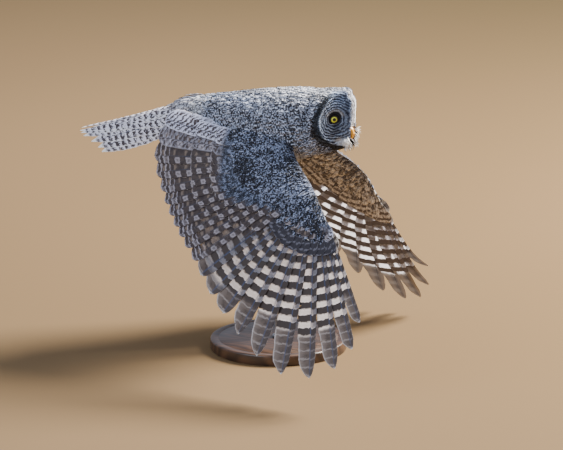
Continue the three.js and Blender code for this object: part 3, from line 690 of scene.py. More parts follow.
# Skin: one closed surface under the coat, in place of trunk, neck, head and legs
skinSizes = {
    "voxel": 0.0023, "smoothing": 5, "mapAngle": 66, "mapGap": 0.002,
    "body": 2.6, "face": 1.6, "leg": 1.2, "arm": 0.2,  # how deep the skin lies under the coat
}
armSizes = {  # heights over the chord as shares of top and under, from the leading edge to the trailing edge
    "stops": [0, 0.05, 0.18, 0.4, 0.68, 0.92, 1], "top": [0, 0.55, 0.92, 1, 0.8, 0.52, 0.34],
    "under": [0, 0.5, 0.8, 0.86, 0.72, 0.52, 0.36],
    "depth": 1.5, "leastHeight": 1.6, "featherReach": 34, "step": 4, "coatReach": 0.009,
}
headSizes = {
    "level": 27, "halfWidth": 78, "up": 60, "down": 65, "ahead": 154, "slant": 0.613, "round": 16,
    "curve": 0.0022, "curveLevel": 36, "foreheadLevel": 56, "foreheadCurve": 0.014, "turn": -7, "pivot": 100,
    "eyeAhead": 131, "eyeAside": 24.5, "eyeRadius": 11, "eyeTurn": 44, "eyeShown": 30.5, "billLevel": -9,
}
bodyStations = np.array([  # distance ahead, top, underside, half width, level of the widest place
    (-236, 24, 9, 10, 17), (-220, 33, -4, 27, 15), (-185, 43, -26, 46, 9), (-125, 54, -53, 63, 3),
    (-55, 67, -72, 77, 0), (15, 77, -77, 82, 0), (62, 81, -71, 80, 4), (100, 83, -58, 77, 10),
], float)
legPath = np.array([  # places in the x, z plane
    (-72, -58), (-108, -66), (-146, -61), (-178, -51), (-192, -46), (-209, -45), (-226, -50)], float)


def headPlace(points, back=False):
    # owl to head frame, or back; the head is turned a little on the neck
    angle = math.radians(headSizes["turn"]) * (1 if back else -1)
    moved = np.array(points, float)
    x, y = moved[..., 0] - headSizes["pivot"], moved[..., 1].copy()
    moved[..., 0] = headSizes["pivot"] + x * math.cos(angle) - y * math.sin(angle)
    moved[..., 1] = x * math.sin(angle) + y * math.cos(angle)
    return moved


def eyeCentre(side):
    place = (headSizes["eyeAhead"], side * headSizes["eyeAside"], headSizes["level"] - 1)
    return headPlace(np.array(place, float), back=True)


def wingArm(pose):
    # the fleshy arm as a closed loft, and samples of its two faces with the lie of the coat there
    place, outline = wingPlace(pose), armOutline(pose)
    last = len(outline[0]) - 1

    def section(n, chord):
        # a place at a share of the chord, and the arm's height above and below it
        line, stops = range(last + 1), armSizes["stops"]
        lead, trail = (
            np.array([np.interp(n, line, axis) for axis in np.transpose(edge)]) for edge in outline)
        heights = (np.interp(n, line, wingSizes[key]) * np.interp(chord, stops, armSizes[key])
                   for key in ("top", "under"))
        return lead + (trail - lead) * np.expand_dims(chord, -1), *heights

    chord = np.linspace(0.01, 0.95, 16)
    depth, least = armSizes["depth"], armSizes["leastHeight"]
    rings = []
    for n in np.linspace(0, last, 40):
        at, over, below = section(n, chord)
        over, below = np.maximum(over - depth, least), np.minimum(depth - below, -least)
        rings.append(np.concatenate([place(*at.T, over), place(*at[::-1].T, below[::-1])]))
    rings = np.array(rings)
    index = np.arange(rings.shape[0] * rings.shape[1]).reshape(rings.shape[:2])
    across = np.roll(index, -1, 1)
    quads = [np.stack([index[:-1], index[1:], across[1:], across[:-1]], -1).reshape(-1, 4)]
    for row in (0, -1):
        a, b = index[row, :len(chord)], index[row, len(chord):][::-1]
        quads.append(np.stack([a[:-1], a[1:], b[1:], b[:-1]], -1))
    mesh = meshOf("arm", rings.reshape(-1, 3), np.concatenate(quads))
    weld(mesh)

    roots, ways = [], []
    for feather in flightFeathers(pose):
        reach = feather["tip"] - feather["root"]
        leaves = armExit(feather, outline[1]) / np.linalg.norm(reach)
        roots.append(mix(feather["root"], feather["tip"], leaves))
        ways.append(unit(reach))
    roots, ways, step = np.array(roots), np.array(ways), armSizes["step"]
    samples, lies, ups, spots = [], [], [], []
    for n in np.linspace(0, last, 60):
        for chord in np.linspace(0, 1, 24):
            at, over, below = section(n, chord)
            close = np.exp(-((np.linalg.norm(roots - at, axis=1) / armSizes["featherReach"]) ** 2)) + 1e-9
            ahead = at + unit((ways * close[:, None]).sum(0)) * step
            for lift in (over, -below):
                here = place(*at, lift)
                samples.append(here)
                lies.append(unit(place(*ahead, lift) - here))
                ups.append(unit(place(*at, lift + step) - here))
                spots.append((chord, n / last))
    return mesh, *(np.array(rows) for rows in (samples, lies, ups, spots))


def remeshed(meshes, name, voxel, smoothing):
    # several closed meshes become one smooth closed surface
    form = bmesh.new()
    for mesh in meshes:
        form.from_mesh(mesh)
    bmesh.ops.remove_doubles(form, verts=form.verts, dist=1e-6)
    joined = bpy.data.meshes.new(name)
    form.to_mesh(joined)
    form.free()
    obj = linked(joined, name)
    remesh = obj.modifiers.new("remesh", "REMESH")
    remesh.mode, remesh.voxel_size, remesh.use_smooth_shade = "VOXEL", voxel, True
    soften = obj.modifiers.new("soften", "SMOOTH")
    soften.factor, soften.iterations = 0.5, smoothing
    obj.data = evaluatedMesh(obj, name)
    obj.data.materials.clear()
    return obj


def bodyAt(x):
    return (np.interp(x, bodyStations[:, 0], bodyStations[:, k]) for k in range(1, 5))


def nearestOnPath(points, path):
    # distance to a path in the x, z plane and the path's direction there
    best = np.full(len(points), 1e9)
    way = np.zeros((len(points), 2))
    for a, b in zip(path[:-1], path[1:]):
        t = np.clip(((points - a) @ (b - a)) / ((b - a) @ (b - a)), 0, 1)
        gap = np.linalg.norm(points - (a + t[:, None] * (b - a)), axis=1)
        closer = gap < best
        best[closer] = gap[closer]
        way[closer] = unit(b - a)
    return best, way


regionSizes = {  # where the kinds of coat meet, in the owl's millimetres or as shares
    "faceBehind": 80, "faceDepth": 13, "faceBlend": 5, "legBehind": -70, "legAside": 48, "legReach": 26,
    "legOutside": 1.04, "armOutside": 1.05, "armAhead": 330, "armAside": 40, "rump": -178, "rumpBlend": 14,
    "bareEye": 14, "billAside": 8.5, "billLevel": -7, "billHeight": 17, "billBehind": 135,
    "saddleMiddle": -10, "saddleLength": 27, "saddleWidth": 21, "saddleUnder": -60,
    "bristleAside": (8, 18), "bristleUnder": -34, "bristleTopsWithPaintedShade": (0, -14), "steepBody": 0.6,
    "steepFore": 0.72, "steepRear": 0.48, "armRear": 0.5, "armEdge": 0.02,
}


def skinForm():
    nodes, limits = frame["nodes"], regionSizes
    arms = [wingArm(pose) for pose in wingPoses.values()]
    flesh = [nodes[name].data for name in ("torso", "neck", "head", "leg_right", "leg_left")]
    skin = remeshed([*flesh, *(arm[0] for arm in arms)], "skin", skinSizes["voxel"], skinSizes["smoothing"])
    mesh = skin.data
    count = len(mesh.vertices)

    def read(key):
        values = np.zeros(count * 3, np.float32)
        mesh.vertices.foreach_get(key, values)
        return values.reshape(-1, 3).astype(float)

    points, normals = read("co"), read("normal")
    owl = (points - owlOrigin) / mm
    ahead, aside, up = owl.T

    # which part of the owl each point belongs to
    top, under, half, level = bodyAt(ahead)
    reach = np.where(up > level, top - level, level - under)
    outside = np.hypot(aside / half, (up - level) / reach)
    sizes = headSizes
    headAhead, headAside, headUp = headPlace(owl).T
    rise = headUp - sizes["level"]
    rim = np.hypot(headAside / sizes["halfWidth"], rise / np.where(rise > 0, sizes["up"], sizes["down"]))
    plane = sizes["ahead"] - sizes["slant"] * (np.hypot(headAside, sizes["round"]) - sizes["round"])
    plane -= sizes["curve"] * (headUp - sizes["curveLevel"]) ** 2
    plane -= sizes["foreheadCurve"] * np.maximum(headUp - sizes["foreheadLevel"], 0) ** 2
    isFace = smooth((headAhead - plane + limits["faceDepth"]) / limits["faceBlend"])
    isFace *= smooth((1.0 - rim) / 0.04)
    isFace[ahead < limits["faceBehind"]] = 0
    legGap, legWay = nearestOnPath(owl[:, [0, 2]], legPath)
    isLeg = ((ahead < limits["legBehind"]) & (up < level) & (np.abs(aside) < limits["legAside"])
             & (legGap < limits["legReach"]) & (outside > limits["legOutside"])).astype(float)
    armTop, armUnder, outShare, chordAt = (np.zeros(count) for _ in range(4))
    lie = np.tile([-1.0, 0.0, -0.1], (count, 1))
    lie[:, 1] += np.sign(aside) * 0.12 * smooth((ahead - 60) / 40)
    mayBeArm = ((outside > limits["armOutside"]) & (isLeg < 0.5) & (ahead < limits["armAhead"])
                & (np.abs(aside) > limits["armAside"]))
    for _, samples, lies, ups, spots in arms:
        tree = KDTree(len(samples))
        for n, sample in enumerate(samples):
            tree.insert(sample, n)
        tree.balance()
        for n in np.nonzero(mayBeArm)[0]:
            _, sample, gap = tree.find(points[n])
            if gap < armSizes["coatReach"]:
                chordAt[n], outShare[n] = spots[sample]
                lie[n] = lies[sample]
                (armTop if ups[sample] @ normals[n] > 0 else armUnder)[n] = 1
    isArm = armTop + armUnder
    legLie = np.stack([legWay[:, 0], np.zeros(count), legWay[:, 1]], 1)
    lie = np.where(isLeg[:, None] > 0.5, legLie, lie)

    # the face's barbs run out from the eye; between the eyes they part upward and downward
    side = np.where(headAside < 0, -1, 1)
    fromEye = np.stack([headAside - side * sizes["eyeShown"], rise], 1)
    eyeGap = np.linalg.norm(fromEye, axis=1)
    middle = smooth((16 - np.abs(headAside)) / 8)
    part = smooth((headUp - sizes["billLevel"]) / 16) * 2 - 1
    radial = mix(unit(fromEye), np.stack([side * 0.45, part], 1), middle[:, None])
    pivot = float(sizes["pivot"])
    faceLie = headPlace(np.stack([np.full(count, pivot), *radial.T], 1), back=True) - (pivot, 0, 0)
    lie = np.where(isFace[:, None] > 0.5, faceLie, lie)
    steep = np.abs((unit(lie) * normals).sum(1))
    lie = unit(lie - normals * (lie * normals).sum(1, keepdims=True))

    # the skin lies a coat's depth under the solids' surface
    depth = np.where(isFace > 0.5, skinSizes["face"], skinSizes["body"])
    depth = np.where(isLeg > 0.5, skinSizes["leg"], depth)
    depth = np.where(isArm > 0.5, skinSizes["arm"], depth)
    points -= normals * depth[:, None] * mm
    mesh.vertices.foreach_set("co", points.astype(np.float32).ravel())

    nearBill = ((np.abs(headAside) < limits["billAside"]) & (headAhead > limits["billBehind"])
                & (np.abs(headUp - limits["billLevel"]) < limits["billHeight"]))
    onSaddle = ((np.abs(ahead - limits["saddleMiddle"]) < limits["saddleLength"])
                & (np.abs(aside) < limits["saddleWidth"]) & (up < limits["saddleUnder"]))
    coated = ~(((eyeGap < limits["bareEye"]) & (isFace > 0.3)) | nearBill | onSaddle)
    isBody = (1 - isFace) * (1 - isLeg) * (1 - isArm) * (steep < limits["steepBody"])
    # feathers are shorter towards the face and towards the wing's leading edge
    bodySize = mix(1, 0.5, smooth((ahead - 55) / 60))
    armSize = mix(0.75, 1.15, outShare) * mix(0.4, 1, smooth(chordAt / 0.3))
    faceSize = mix(0.55, 1, smooth(eyeGap / 30))
    # no feather stands up from the wall between the arm's two faces
    onArm = steep < np.where(chordAt > limits["armRear"], limits["steepRear"], limits["steepFore"])
    inner, outer = limits["bristleAside"]
    byBill = isFace * (np.abs(headAside) > inner) * (np.abs(headAside) < outer)
    # the near side's white bristles stop 14 mm lower than the far side's: painted shade on the side turned
    # away from the key light
    byBill *= (headUp > limits["bristleUnder"]) * (headUp < np.where(headAside > 0, *limits["bristleTopsWithPaintedShade"]))
    addAttributes(mesh, {
        "lie": lie, "coverBody": isBody * coated, "coverFace": isFace * coated, "coverLeg": isLeg * coated,
        "coverTop": armTop * onArm, "coverBristle": byBill,
        "coverUnder": armUnder * (chordAt > limits["armEdge"]) * onArm,
        "coverRump": isBody * smooth((limits["rump"] - ahead) / limits["rumpBlend"]),
        "size": np.select([isFace > 0.5, isLeg > 0.5, isArm > 0.5], [faceSize, 1.0, armSize], bodySize),
        "isFace": isFace, "isLeg": isLeg, "isTop": armTop, "isUnder": armUnder,
    })
    print(f"skin: {len(mesh.polygons)} faces")
    return skin


def unwrapped(obj):
    bpy.context.view_layer.objects.active = obj
    for other in bpy.context.selected_objects:
        other.select_set(False)
    obj.select_set(True)
    obj.data.uv_layers.new(name="OFBake")
    bpy.ops.object.mode_set(mode="EDIT")
    bpy.ops.mesh.select_all(action="SELECT")
    angle = math.radians(skinSizes["mapAngle"])
    bpy.ops.uv.smart_project(angle_limit=angle, island_margin=skinSizes["mapGap"])
    bpy.ops.object.mode_set(mode="OBJECT")
    obj.select_set(False)


skin = skinForm()
unwrapped(skin)
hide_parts("torso", "neck", "head", "leg_right", "leg_left")
print("skin unwrapped")


# Coat: small feathers set on the skin along its lie, one tree for every kind
tuftShapes = {  # rows along the feather: place, half width, height of the ridge
    "round": [(0, 0.22, 0.03), (0.3, 0.46, 0.07), (0.66, 0.5, 0.06), (0.9, 0.34, 0.03)],
    "ragged": [(0, 0.2, 0.03), (0.4, 0.5, 0.06), (0.8, 0.36, 0.03)],
    "barb": [(0, 0.4, 0.1), (0.45, 0.5, 0.1)],
}
coatKeys = ("cover", "tuft", "spacing", "length", "width", "lift", "waver", "seed")
coats = {name: dict(zip(coatKeys, values)) for name, *values in (  # in metres, lift and waver in degrees
    ("coatBody", "coverBody", "round", 0.0036, 0.022, 0.0086, 7, 8, 3),
    ("coatFace", "coverFace", "barb", 0.0011, 0.0105, 0.0016, 7, 8, 5),
    ("coatTop", "coverTop", "round", 0.0042, 0.024, 0.0105, 6, 8, 7),
    ("coatUnder", "coverUnder", "round", 0.0046, 0.026, 0.0115, 5, 8, 9),
    ("coatRump", "coverRump", "round", 0.0062, 0.046, 0.017, 5, 6, 15),
    ("coatBristles", "coverBristle", "barb", 0.001, 0.018, 0.0026, 48, 14, 17),
    ("coatLegs", "coverLeg", "ragged", 0.0024, 0.0095, 0.0042, 10, 14, 13),
)}
coatSpread = {"density": 4e5, "arch": 0.16, "mapSize": 0.003, "flatness": 0.5}


def tuftForm(name, rows):
    # a thin closed feather one unit long, flat below and ridged above
    def bow(place):
        return coatSpread["arch"] * math.sin(math.pi * 0.8 * place)

    points = []
    for place, half, ridge in rows:
        height = bow(place)
        points += [(-half, place, height), (0, place + 0.02, height + ridge), (half, place, height)]
    points = np.array([*points, (0, 1, bow(1))], float)
    tip = len(points) - 1
    quads = [(0, 1, 2, 2)]
    sides = ((0, 1), (1, 2), (2, 0))
    quads += [(row + a, row + b, row + 3 + b, row + 3 + a) for row in range(0, tip - 3, 3) for a, b in sides]
    quads += [(tip - 3 + a, tip - 3 + b, tip, tip) for a, b in sides]
    patterns = np.stack([points[:, 0] + 0.5, points[:, 1]], 1)[np.array(quads)]
    mesh = meshOf(name, points, quads, {"tuft": patterns})
    weld(mesh)
    return linked(mesh, name)


class GeometryGraph(Graph):
    def named(self, name, kind="FLOAT"):
        return self.node("GeometryNodeInputNamedAttribute", {"data_type": kind}, {"Name": name})

    def store(self, geometry, name, value, kind="FLOAT", domain="POINT"):
        inputs = {"Geometry": geometry, "Name": name, "Value": value}
        return self.node("GeometryNodeStoreNamedAttribute", {"data_type": kind, "domain": domain}, inputs)


def coatTree():
    tree = bpy.data.node_groups.new("coat", "GeometryNodeTree")
    tree.is_modifier = True
    sockets = {"Skin": "Geometry", "Cover": "String", "Spacing": "Float", "Length": "Float", "Width": "Float",
               "Lift": "Float", "Waver": "Float", "Seed": "Int", "Tuft": "Object", "Finish": "Material"}
    for name, kind in sockets.items():
        tree.interface.new_socket(name, in_out="INPUT", socket_type=f"NodeSocket{kind}")
    tree.interface.new_socket("Coat", in_out="OUTPUT", socket_type="NodeSocketGeometry")
    graph = GeometryGraph(tree)
    given = {name: graph.node("NodeGroupInput", output=name) for name in sockets}
    points = graph.node("GeometryNodeDistributePointsOnFaces", {"distribute_method": "POISSON"}, {
        "Mesh": given["Skin"], "Distance Min": given["Spacing"], "Density Max": coatSpread["density"],
        "Density Factor": graph.named(given["Cover"]), "Seed": given["Seed"]}, output="Points")
    normal = Socket(graph, points.link.node.outputs["Normal"])

    def chance(low, high, shift):
        # sockets 2 and 3 and output 1 are the node's sockets for single numbers
        inputs = {2: low, 3: high, "Seed": given["Seed"] + shift}
        return graph.node("FunctionNodeRandomValue", {"data_type": "FLOAT"}, inputs, output=1)

    rootMap = graph.named("OFBake", "FLOAT_VECTOR")
    points = graph.store(points, "rootMap", rootMap, "FLOAT_VECTOR")
    points = graph.store(points, "tone", chance(0.0, 1.0, 1))
    facing = graph.node("FunctionNodeAxesToRotation", {"primary_axis": "Z", "secondary_axis": "Y"},
                        [normal, graph.named("lie", "FLOAT_VECTOR")])
    waver, lift = (given[key] * (math.pi / 180) for key in ("Waver", "Lift"))
    sway = graph.node("ShaderNodeCombineXYZ", {}, [
        lift + chance(-0.6, 0.6, 2) * waver, chance(-1.0, 1.0, 3) * waver, chance(-1.0, 1.0, 4) * waver])
    leaning = graph.node("FunctionNodeEulerToRotation", {}, [sway])
    facing = graph.node("FunctionNodeRotateRotation", {"rotation_space": "LOCAL"}, [facing, leaning])
    size = graph.named("size") * chance(0.85, 1.15, 5)
    long, wide = given["Length"] * size, given["Width"] * size * chance(0.9, 1.1, 6)
    scale = graph.node("ShaderNodeCombineXYZ", {}, [wide, long, long * coatSpread["flatness"]])
    tuft = graph.node("GeometryNodeObjectInfo", {}, {"Object": given["Tuft"]}, output="Geometry")
    coat = graph.node("GeometryNodeInstanceOnPoints", {}, {
        "Points": points, "Instance": tuft, "Rotation": facing, "Scale": scale})
    coat = graph.node("GeometryNodeRealizeInstances", {}, {"Geometry": coat})
    within = graph.vector("SUBTRACT", graph.named("tuft", "FLOAT_VECTOR"), (0.5, 0.5, 0))
    spread = (coatSpread["mapSize"], coatSpread["mapSize"], 0)
    packed = graph.vector("MULTIPLY_ADD", within, spread, graph.named("rootMap", "FLOAT_VECTOR"))
    coat = graph.store(coat, "OFBake", packed, "FLOAT2", "CORNER")
    coat = graph.node("GeometryNodeSetMaterial", {}, {"Geometry": coat, "Material": given["Finish"]})
    graph.node("NodeGroupOutput", {}, {"Coat": coat})
    return tree


def grown(tree, name, base, inputs):
    # the tree's result over a base mesh, as a plain mesh of its own
    host = linked(base.data, name + "Host")
    modifier = host.modifiers.new("grow", "NODES")
    modifier.node_group = tree
    for item in tree.interface.items_tree:
        if item.in_out == "INPUT" and item.name in inputs:
            modifier[item.identifier] = inputs[item.name]
    mesh = evaluatedMesh(host, name)
    bpy.data.objects.remove(host)
    for spare in ("rootMap", "lie"):
        if spare in mesh.attributes:
            mesh.attributes.remove(mesh.attributes[spare])
    triangles = sum(len(polygon.vertices) - 2 for polygon in mesh.polygons)
    print(f"{name}: {triangles} triangles")
    return linked(mesh, name)


# Materials

def tint(red, green, blue):
    # display values from 0 to 255 as light values
    return tuple(((v / 255 + 0.055) / 1.055) ** 2.4 if v > 10 else v / 3294.6 for v in (red, green, blue))


def near(value, centre, half, edge):
    # 1 within half of the centre, 0 beyond it, with a soft edge
    return (value - centre).size().step(half + edge, half - edge)


def owlPlace(graph, head=False):
    # the place in the owl's own millimetres, or turned with the head
    place = graph.vector("SUBTRACT", graph.objectPlace(), tuple(owlOrigin))
    place = graph.vector("MULTIPLY", place, (1000, 1000, 1000))
    if not head:
        return graph.axes(place)
    # the head turns about a point ahead of the shoulders
    sine, cosine = math.sin(math.radians(headSizes["turn"])), math.cos(math.radians(headSizes["turn"]))
    ahead, aside, up = (graph.vector("DOT_PRODUCT", place, way, output="Value")
                        for way in ((cosine, sine, 0), (-sine, cosine, 0), (0, 0, 1)))
    return ahead, aside + headSizes["pivot"] * sine, up


def speckle(graph, across, along, seed, wide, long):
    # wavy cross lines of a feather, as numbers from 0 to 1
    return graph.grain(across * wide, along * long, seed * 37, roughness=0.6)


# the blue cast of these greys is painted skylight over the plumage's own grey
bodyTints = {
    "dark": tint(42, 44, 54), "light": tint(182, 192, 216), "white": tint(252, 252, 255),
    "arm": tint(28, 31, 42), "armLight": tint(142, 154, 184), "brown": tint(60, 52, 50),
    "shade": (0.01, 0.01, 0.012),
}
# the blue cast of the face's greys is painted skylight over the plumage's own grey
faceTints = {
    "light": tint(206, 226, 255), "middle": tint(132, 148, 180), "dark": tint(42, 50, 74),
    "white": tint(252, 252, 255), "black": tint(10, 10, 14), "rim": tint(8, 8, 11),
}


bodyZones = {  # where a marking begins and is full, in the owl's millimetres; ruffShare is of the face
    "streakAhead": (70, 100), "upper": (50, 88), "rumpAhead": (-150, -215), "rumpUp": (-10, 20),
    "under": (-20, -60), "underAhead": (80, 110),
    "ruffDepth": (9, 5), "ruffShare": (0.8, 0.9), "ruffOpenUp": (30, 52), "ruffOpenAside": (48, 28),
}
faceZones = {  # the same on the face; three numbers are a marking's centre, half width and soft edge
    "ringWidth": 5.7, "inward": (2, -14), "patch": (15.5, 11.5), "tearTop": (0, -8), "tearEnd": (-46, -30),
    "arc": (19.5, 2.6, 1.8), "arcUp": (3, 9), "groove": (14.5, 1.8, 1.6), "grooveUp": (0, 14),
    "ridge": (0, 9, 3), "ridgeUp": (-30, -22), "beardAside": (21, 6, 4), "beardUp": (-51, 7, 4),
    "chin": (0, 10, 3), "chinUp": (-47, -52), "rim": (0.945, 0.975), "rimOpenUp": (34, 56),
    "rimOpenAside": (44, 26),
}


def rimShare(graph):
    # 0 at the middle of the face and 1 on its rim, the depth behind its surface, and the place on it
    ahead, aside, up = owlPlace(graph, head=True)
    sizes = headSizes
    rise = up - sizes["level"]
    reach = sizes["down"] + rise.step(-10, 10) * (sizes["up"] - sizes["down"])
    flat, tall = aside / sizes["halfWidth"], rise / reach
    bend = (aside * aside + sizes["round"] ** 2) ** 0.5
    plane = (sizes["ahead"] + sizes["slant"] * sizes["round"]) - bend * sizes["slant"]
    arch = up - sizes["curveLevel"]
    behind = plane - arch * arch * sizes["curve"] - ahead
    return (flat * flat + tall * tall) ** 0.5, behind, aside, rise


def bodyColour(graph, across, along, tone):
    # grey with a blue cast that is painted skylight, wavy cross lines and dark shaft streaks; paler on the
    # rump, and paler on crown and back, partly plumage and partly a painted highlight of the light from above
    x, _, z = owlPlace(graph)
    worm = speckle(graph, across, along, tone, 2.6, 7.0)
    fine = graph.flecks(290, detail=1.0)
    broad = graph.flecks(24)
    light = (worm * 0.4 + fine + (tone - 0.5) * 0.12 + (broad - 0.5) * 0.3).step(0.65, 0.77)
    streak = near(across, 0.5, 0.09, 0.05) * along.step(0.35, 0.6) * tone.step(0.45, 0.6)
    zones = bodyZones
    streak = streak * (1 - x.step(*zones["streakAhead"])) * 0.75
    # paler towards crown and back: partly the plumage, partly a painted highlight where the light falls from
    # above
    upper = z.step(*zones["upper"]) * (0.3 + 0.7 * light)
    rump = (x.step(*zones["rumpAhead"]) * z.step(*zones["rumpUp"])).least(1)
    pale = (upper * 0.7 + rump * 0.7).least(1) * (0.25 + 0.75 * fine.step(0.38, 0.55))
    under = z.step(*zones["under"]) * (1 - x.step(*zones["underAhead"])) * 0.4 * worm.step(0.4, 0.6)
    share, behind, aside, rise = rimShare(graph)
    ruff = (behind + (fine - 0.5) * 6).step(*zones["ruffDepth"]) * share.step(*zones["ruffShare"])
    opening = rise.step(*zones["ruffOpenUp"]) * aside.size().step(*zones["ruffOpenAside"])
    ruff = ruff * (1 - opening) * (0.68 + fine * 0.6).least(1)
    return graph.layered(
        bodyTints["dark"], (light, bodyTints["light"]), (streak, bodyTints["brown"]),
        (pale, bodyTints["white"]), (under, bodyTints["white"]), (ruff * 0.97, faceTints["rim"]))


def faceColour(graph, across, along, tone):
    # rings about each eye, a black patch beside it, pale lores and brows, and a dark rim
    share, _, aside, rise = rimShare(graph)
    wander = graph.flecks(95) - 0.5
    fine = graph.flecks(420, roughness=0.6) - 0.5
    wide, zones = aside.size(), faceZones
    sideways = wide - headSizes["eyeShown"]
    inward = sideways.step(*zones["inward"])
    flat = sideways * (1 + inward * 0.45)
    gap = (flat * flat + rise * rise) ** 0.5
    rings = ((gap + wander * 8) / zones["ringWidth"]).wave()
    light = ((rings - 0.5) * (1 - inward * 0.55) + fine * 0.75 + (tone - 0.5) * 0.25).step(-0.22, 0.3)
    ringTint = graph.blend(inward * 0.6, faceTints["light"], faceTints["middle"])
    # the patch reaches from the eye upward and a little to the bill
    patch = (gap - rise * 0.14 - inward * 2 + wander * 6).step(*zones["patch"])
    tear = near(flat + rise * 0.28, -9, 6.5, 3) * rise.step(*zones["tearTop"]) * rise.step(*zones["tearEnd"])
    arc = near(gap + wander * 4, *zones["arc"]) * rise.step(*zones["arcUp"]) * (0.6 + fine)
    # the ridge between the eyes and the bristles beside the bill are white
    groove = near(wide + wander * 4, *zones["groove"]) * rise.step(*zones["grooveUp"])
    ridge = near(wide + wander * 6 - fine * 5, *zones["ridge"]) * rise.step(*zones["ridgeUp"])
    beard = near(wide + wander * 6 - fine * 6, *zones["beardAside"]) * near(rise, *zones["beardUp"]) * 0.8
    pale = (ridge.most(beard) * (0.86 + 0.6 * fine)).least(1).most(0)
    chin = near(aside + wander * 5, *zones["chin"]) * rise.step(*zones["chinUp"])
    opening = rise.step(*zones["rimOpenUp"]) * wide.step(*zones["rimOpenAside"])
    rim = (share + wander * 0.04).step(*zones["rim"]) * (1 - opening)
    return graph.layered(
        faceTints["dark"], (light, ringTint), (tear * 0.6, faceTints["dark"]),
        ((arc * 0.6).least(1).most(0), faceTints["white"]), (patch * 0.96, faceTints["black"]),
        (groove * 0.6, faceTints["dark"]), (pale, faceTints["white"]), (chin, faceTints["black"]),
        (rim * (0.9 + fine * 0.6).least(1), faceTints["rim"]))


def armColour(graph, across, along, tone):
    worm = speckle(graph, across, along, tone, 2.6, 6.0)
    fine = graph.flecks(290, detail=1.0)
    broad = graph.flecks(16)
    light = (worm * 0.4 + fine + (tone - 0.5) * 0.12 + (broad - 0.5) * 0.5).step(0.7, 0.82)
    return graph.blend(light, bodyTints["arm"], bodyTints["armLight"])


def underColour(graph, across, along, tone):
    # buff under coverts, mottled brown, with pale fringes and dark shafts
    worm = speckle(graph, across, along, tone, 2.0, 6.0)
    fine = graph.flecks(240, roughness=0.65)
    mark = (worm * 0.7 + fine * 0.8 + (tone - 0.5) * 0.5).step(0.6, 0.92)
    fringe = near(across, 0.5, 0.5, 0.1).step(0.9, 0.4) * 0.5
    return graph.layered(
        tint(112, 104, 100), (mark, tint(246, 238, 228)), (fringe, tint(246, 240, 232)),
        (near(across, 0.5, 0.05, 0.03) * 0.7, tint(40, 30, 24)))


def rumpColour(graph, across, along, tone):
    # long pale feathers over the root of the tail, faintly cross-lined
    lines = (speckle(graph, across, along, tone, 4.0, 16.0) + (tone - 0.5) * 0.2).step(0.44, 0.6)
    ribTint = near(across, 0.5, 0.03, 0.03) * 0.6, tint(60, 56, 60)
    return graph.layered(tint(96, 94, 104), (lines, tint(206, 208, 220)), ribTint)


def bristleColour(graph, across, along, tone):
    return graph.blend(tone.step(0.75, 1.0), tint(254, 254, 255), tint(120, 122, 130))


def legColour(graph, across, along, tone):
    mark = (speckle(graph, across, along, tone, 2.0, 3.0) + (tone - 0.5) * 0.5).step(0.4, 0.62)
    return graph.blend(mark, tint(96, 92, 94), tint(188, 184, 182))


def coatMaterial(name, colouring):
    graph = Finish(name, Roughness=0.72, Specular_IOR_Level=0.2, Sheen_Weight=0.06, Sheen_Roughness=0.5)
    across, along = graph.map("tuft")
    colour = colouring(graph, across, along, graph.attribute("tone"))
    # the roots lie in shade
    return graph.feed(Base_Color=graph.blend(0.42 * along.step(0.75, 0.25), colour, bodyTints["shade"]))


def skinMaterial():
    graph = Finish("skin", Roughness=0.85, Specular_IOR_Level=0.2)
    across, along, tone = (graph.flecks(scale, detail=1.0) for scale in (90, 70, 150))
    colour = bodyColour(graph, across, along, tone)
    for key, colouring in (
            ("isTop", armColour), ("isUnder", underColour), ("isLeg", legColour), ("isFace", faceColour)):
        colour = graph.blend(graph.attribute(key), colour, colouring(graph, across, along, tone))
    # painted shade: the skin under the coat is darkened by nearly half
    colour = graph.blend(0.45, colour, bodyTints["shade"])
    return graph.feed(Base_Color=colour, Normal=graph.bump(tone, 0.4, 0.001))


# Flight feathers: bars and squares measured from each feather's tip
vaneTints = {
    "brown": tint(66, 58, 56), "tip": tint(88, 77, 72), "blue": tint(118, 126, 148),
    "square": tint(158, 152, 160), "base": tint(72, 63, 62), "lilac": tint(184, 180, 194),
    "edge": tint(228, 226, 230), "buff": tint(238, 230, 220), "white": tint(250, 249, 247),
    "underBrown": tint(112, 106, 108), "shaft": tint(60, 70, 98), "passing": tint(240, 238, 240),
    "shade": (0.02, 0.018, 0.018),
}
vaneMarks = {  # spacings in millimetres, and the softness of a bar's edge
    "bar": 29, "square": 26, "tipLine": 19, "wavyLine": 10.5, "slant": 11, "coverBar": 15, "underLine": 17,
    "tailBar": 15, "edge": 0.06, "darkTip": 32, "darkGain": 66, "darkLoss": 20, "passes": 0.02,
}


